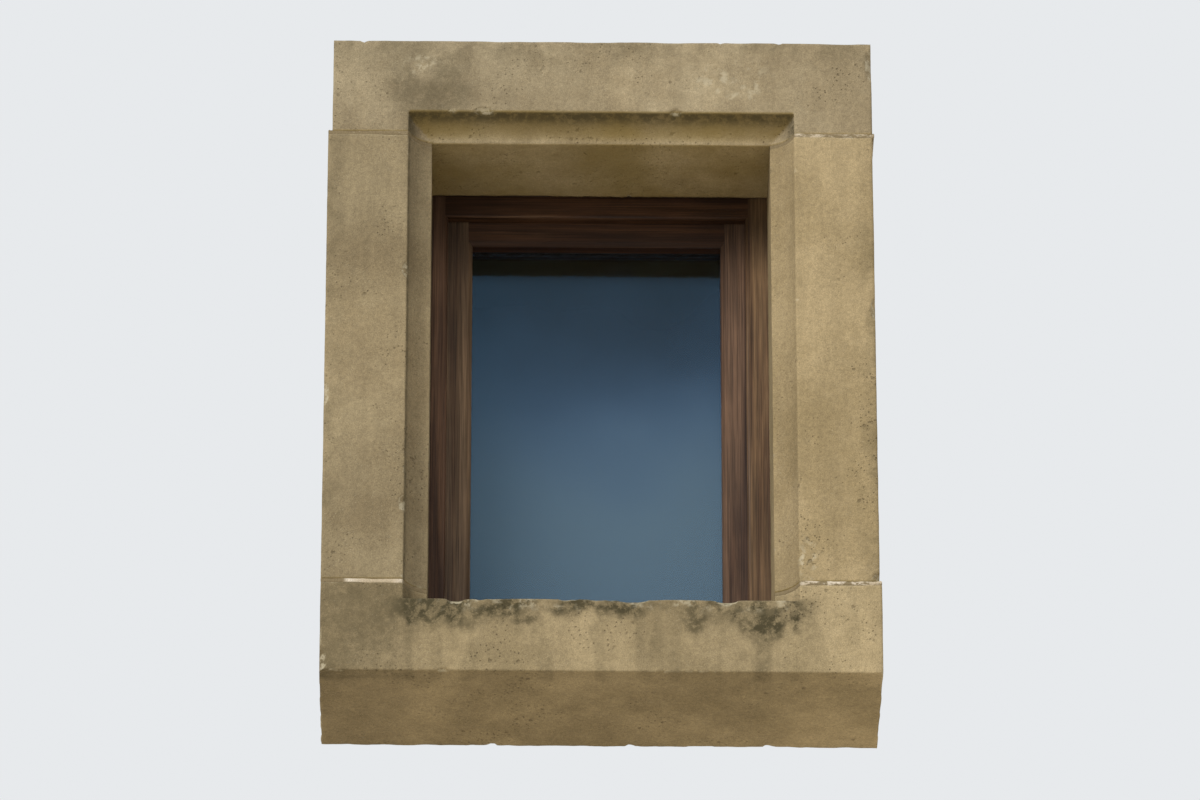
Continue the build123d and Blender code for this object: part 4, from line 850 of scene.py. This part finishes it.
def pointing(name, side, level, paint, seed, pale_to=HALF_SURROUND):
    """A ribbon of mortar flush with the stones; its edges sink in, and its face is pale out to pale_to."""
    path = joint_path(side)
    along = np.gradient(path, axis=0)
    along /= np.linalg.norm(along, axis=1)[:, None]
    into = np.stack([-along[:, 1], along[:, 0]], axis=1) * -side
    x, y = path.T
    rows = []
    for v in np.linspace(-1, 1, RIBBON_ROWS):
        row = np.stack([x, y, np.full(len(path), level + v * JOINT_HEIGHT * RIBBON_COVER)], axis=1)
        uneven = fractal(row, 16 * MM, 3, seed)
        sunk = FACE_SUNK + FACE_UNEVEN * uneven + EDGE_SUNK * abs(v) ** 4 * (0.5 + uneven)
        row[:, :2] += into * sunk[:, None]
        rows.append(row)
    points = np.concatenate(rows)
    mesh = bpy.data.meshes.new(name)
    mesh.from_pydata(points.tolist(), [], ribbon_faces(len(path), side))
    shade_smooth(mesh)
    out = np.abs(points[:, 0])
    face = ease(out, ARRIS_X - 3 * MM, ARRIS_X + 6 * MM)
    save_field(mesh, "lime", face * (1 - ease(out, pale_to, pale_to + 12 * MM)))
    mesh.materials.append(paint)
    piece = link(name, mesh)
    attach(piece, "surround")


FRESH = mortar_paint("fresh_mortar", 0.28, 0.42)
BROKEN = mortar_paint("broken_mortar", 0.46, 0.56)
WEATHERED = mortar_paint("weathered_mortar", 0.58, 0.72)
SCRAPED = mortar_paint("scraped_mortar", 0.42, 0.6)
pointing("pointing_lower_left", -1, LOWER_JOINT_Z, FRESH, 50, pale_to=LOWER_LEFT_PALE_TO)
pointing("pointing_lower_right", 1, LOWER_JOINT_Z, BROKEN, 52)
pointing("pointing_upper_left", -1, UPPER_JOINT_Z, WEATHERED, 60)
pointing("pointing_upper_right", 1, UPPER_JOINT_Z, SCRAPED, 62)

# Carried-over nodes: edges eased, and a finish for each material
TIMBER_EDGE = 1.0 * MM
IRON_EDGE = 0.6 * MM
EASED_ABOVE = math.radians(38)

# For each paint: the grain's axis, its dark and light tones, its seed and its nodes
TIMBERS = {
    # The left frame jamb's tones are darkened as painted shade, and the right one's lightened as painted
    # light
    "frame_timber_left_painted_shade": ("z", (69, 47, 34), (118, 88, 67), 5.0, ["frame_jamb_left"]),
    "frame_timber_right_painted_light": ("z", (90, 65, 45), (151, 121, 87), 5.5, ["frame_jamb_right"]),
    "frame_timber_level": ("x", (78, 55, 38), (134, 104, 74), 6.0, ["frame_sill"]),
    "sash_timber_left": ("z", (93, 71, 54), (147, 121, 94), 7.0, ["sash_hinge_stile", "glazing_bead_left"]),
    "sash_timber_right": ("z", (76, 54, 41), (120, 92, 71), 7.5, ["sash_lock_stile", "glazing_bead_right"]),
    "sash_timber_level": (
        "x",
        (86, 62, 46),
        (136, 106, 80),
        8.0,
        ["sash_bottom_rail", "weather_bar", "glazing_bead_top", "glazing_bead_bottom"],
    ),
    # The head and the sash's top rail are painted much darker as the lintel's shade
    "head_timber_painted_shade": ("x", (48, 28, 15), (78, 52, 33), 9.0, ["frame_head", "sash_top_rail"]),
}


def finish_node(name, paint, edge=0.0):
    """Gives a carried-over node its paint and, where edge isn't 0, edges eased by that width."""
    piece = nodes[name]
    piece.data.materials.clear()
    piece.data.materials.append(paint)
    if edge:
        weld = piece.modifiers.new("weld", "WELD")
        weld.merge_threshold = WELD
        bevel = piece.modifiers.new("eased_edges", "BEVEL")
        bevel.width = edge
        bevel.segments = 2
        bevel.limit_method = "ANGLE"
        bevel.angle_limit = EASED_ABOVE
        bevel.harden_normals = True


def finish_mortar():
    mortar = mortar_paint("lime_mortar", 0.3, 0.5, masked=False)
    for name in nodes:
        if name.startswith("mortar_bed") or name in ("sill_bedding", "perimeter_packing"):
            finish_node(name, mortar)


def finish_timber():
    for name, (along, dark, light, seed, pieces) in TIMBERS.items():
        paint = timber_paint(name, along, tone(*dark), tone(*light), seed)
        for piece in pieces:
            finish_node(piece, paint, TIMBER_EDGE)


def finish_glazing():
    # The inner pane is opaque, so its dark colour stands in for the unlit room behind
    finish_node("outer_pane", glass_paint("outer_glass", 0.4))
    finish_node("inner_pane", glass_paint("inner_glass", 1.0))
    spacer = plain_paint("spacer_metal", (0.35, 0.35, 0.35, 1), (0.5, 0.5, 0.5, 1), 0.4, metallic=1.0)
    finish_node("spacer_frame", spacer)
    rubber = plain_paint("black_rubber", (0.012, 0.012, 0.012, 1), (0.03, 0.03, 0.03, 1), 0.75)
    for name in ("weather_seal", "glazing_tape", "edge_sealant", "setting_blocks"):
        finish_node(name, rubber)
    finish_node("bedding_mastic", plain_paint("brown_mastic", tone(58, 45, 34), tone(84, 68, 52), 0.7))


def finish_ironmongery():
    iron, steel = iron_paint(), steel_paint()
    for name in nodes:
        if name.startswith(("rod_guide", "cremone", "handle")) or name in ("upper_keep", "lower_keep"):
            finish_node(name, iron, IRON_EDGE)
        elif name in ("upper_rod", "lower_rod"):
            finish_node(name, iron)
        elif name.startswith(("hinge", "fixing", "pinion")) or name.endswith(("rack", "screws")):
            finish_node(name, steel)


finish_mortar()
finish_timber()
finish_glazing()
finish_ironmongery()

# Studio: a pale floor that only the camera and shiny things see, two soft lamps and a plain sky
FLOOR_COLOUR = (0.66, 0.67, 0.68, 1)
FLOOR_RADIUS = 150.0
FLOOR_DROP = 0.5 * MM
GROUND_LIGHT = (0.70, 0.62, 0.48, 1)
LEVEL_LIGHT = (0.50, 0.50, 0.50, 1)
TOP_LIGHT = (0.92, 0.96, 1.0, 1)
BACKDROP = (0.80, 0.82, 0.84, 1)


def floor_paint():
    """Pale floor, seen from above only, which lets the sky's light through to the object's underside."""
    material = bpy.data.materials.new("studio_floor")
    material.use_nodes = True
    floor = Nodes(material.node_tree)
    floor.tree.nodes.clear()
    rays = floor.new("ShaderNodeLightPath").outputs
    seen = floor.maths("MAXIMUM", rays["Is Camera Ray"], rays["Is Glossy Ray"])
    below = floor.new("ShaderNodeNewGeometry").outputs["Backfacing"]
    shown = floor.maths("SUBTRACT", seen, below)
    shown.node.use_clamp = True
    clear = floor.new("ShaderNodeBsdfTransparent").outputs[0]
    plain = floor.coloured("ShaderNodeBsdfDiffuse", FLOOR_COLOUR)
    output = floor.new("ShaderNodeOutputMaterial")
    floor.put(output.inputs["Surface"], floor.choice(shown, clear, plain))
    return material


def studio_floor():
    disc = bmesh.new()
    bmesh.ops.create_circle(disc, cap_ends=True, segments=96, radius=FLOOR_RADIUS)
    mesh = bpy.data.meshes.new("studio_floor")
    disc.to_mesh(mesh)
    disc.free()
    mesh.materials.append(floor_paint())
    floor = link("studio_floor", mesh)
    floor.location.z = -FLOOR_DROP


def sky_light(sky):
    """Light from all round: warm from the ground, weakest at the horizon and strongest from above."""
    rise = sky.new("ShaderNodeMapRange")
    rise.inputs["From Min"].default_value = -1.0
    sky.put(rise.inputs["Value"], sky.upright(sky.new("ShaderNodeTexCoord").outputs["Generated"]))
    ramp = sky.new("ShaderNodeValToRGB")
    sky.put(ramp.inputs["Fac"], rise.outputs["Result"])
    ground, top = ramp.color_ramp.elements
    ground.color, top.color = GROUND_LIGHT, TOP_LIGHT
    ramp.color_ramp.elements.new(0.5).color = LEVEL_LIGHT
    return sky.coloured("ShaderNodeBackground", ramp.outputs["Color"])


def studio_sky():
    """The sky's light, behind a plain pale backdrop that the camera, metal and glass see instead."""
    world = bpy.data.worlds.new("studio")
    bpy.context.scene.world = world
    world.use_nodes = True
    sky = Nodes(world.node_tree)
    sky.tree.nodes.clear()
    rays = sky.new("ShaderNodeLightPath").outputs
    shiny = sky.maths("MAXIMUM", rays["Is Glossy Ray"], rays["Is Transmission Ray"])
    seen = sky.maths("MAXIMUM", rays["Is Camera Ray"], shiny)
    backdrop = sky.coloured("ShaderNodeBackground", BACKDROP)
    output = sky.new("ShaderNodeOutputWorld")
    sky.put(output.inputs["Surface"], sky.choice(seen, sky_light(sky), backdrop))


def direction(azimuth, elevation):
    """From the object to those angles in degrees; azimuth 0 is in front of it, and positive is left."""
    turn, rise = math.radians(azimuth), math.radians(elevation)
    return Vector((-math.sin(turn) * math.cos(rise), -math.cos(turn) * math.cos(rise), math.sin(rise)))


def lamp(name, azimuth, elevation, strength, softness):
    """A soft distant lamp that shines from those angles."""
    data = bpy.data.lights.new(name, "SUN")
    data.energy = strength
    data.angle = math.radians(softness)
    link(name, data).rotation_euler = direction(azimuth, elevation).to_track_quat("Z", "Y").to_euler()


studio_floor()
studio_sky()
lamp("key_lamp", azimuth=40, elevation=28, strength=1.75, softness=34)
lamp("back_lamp", azimuth=205, elevation=35, strength=1.1, softness=30)

# Camera: 29.5 degrees below the window, a little to its left and 18 m off, as the photograph was taken
VIEW_AZIMUTH = 0.8
VIEW_ELEVATION = -29.5
VIEW_DISTANCE = 18.0
PICTURE_SHAPE = 1200 / 800
FILLED = 0.88
SENSOR = 36.0


def photograph_camera():
    """A camera whose picture's height the window fills by the share FILLED."""
    low, high = (Vector(corner) for corner in cad_box)
    away = direction(VIEW_AZIMUTH, VIEW_ELEVATION)
    pitch = math.radians(abs(VIEW_ELEVATION))
    seen_height = (high.z - low.z) * math.cos(pitch) + (BACK_Y - FACE_Y) * math.sin(pitch)
    data = bpy.data.cameras.new("camera")
    data.sensor_width = SENSOR
    data.lens = SENSOR * VIEW_DISTANCE / (seen_height / FILLED * PICTURE_SHAPE)
    data.clip_start, data.clip_end = 0.1, 400.0
    camera = link("camera", data)
    camera.location = (low + high) / 2 + away * VIEW_DISTANCE
    camera.rotation_euler = away.to_track_quat("Z", "Y").to_euler()
    bpy.context.scene.camera = camera


photograph_camera()
bpy.context.scene.view_settings.view_transform = "Standard"
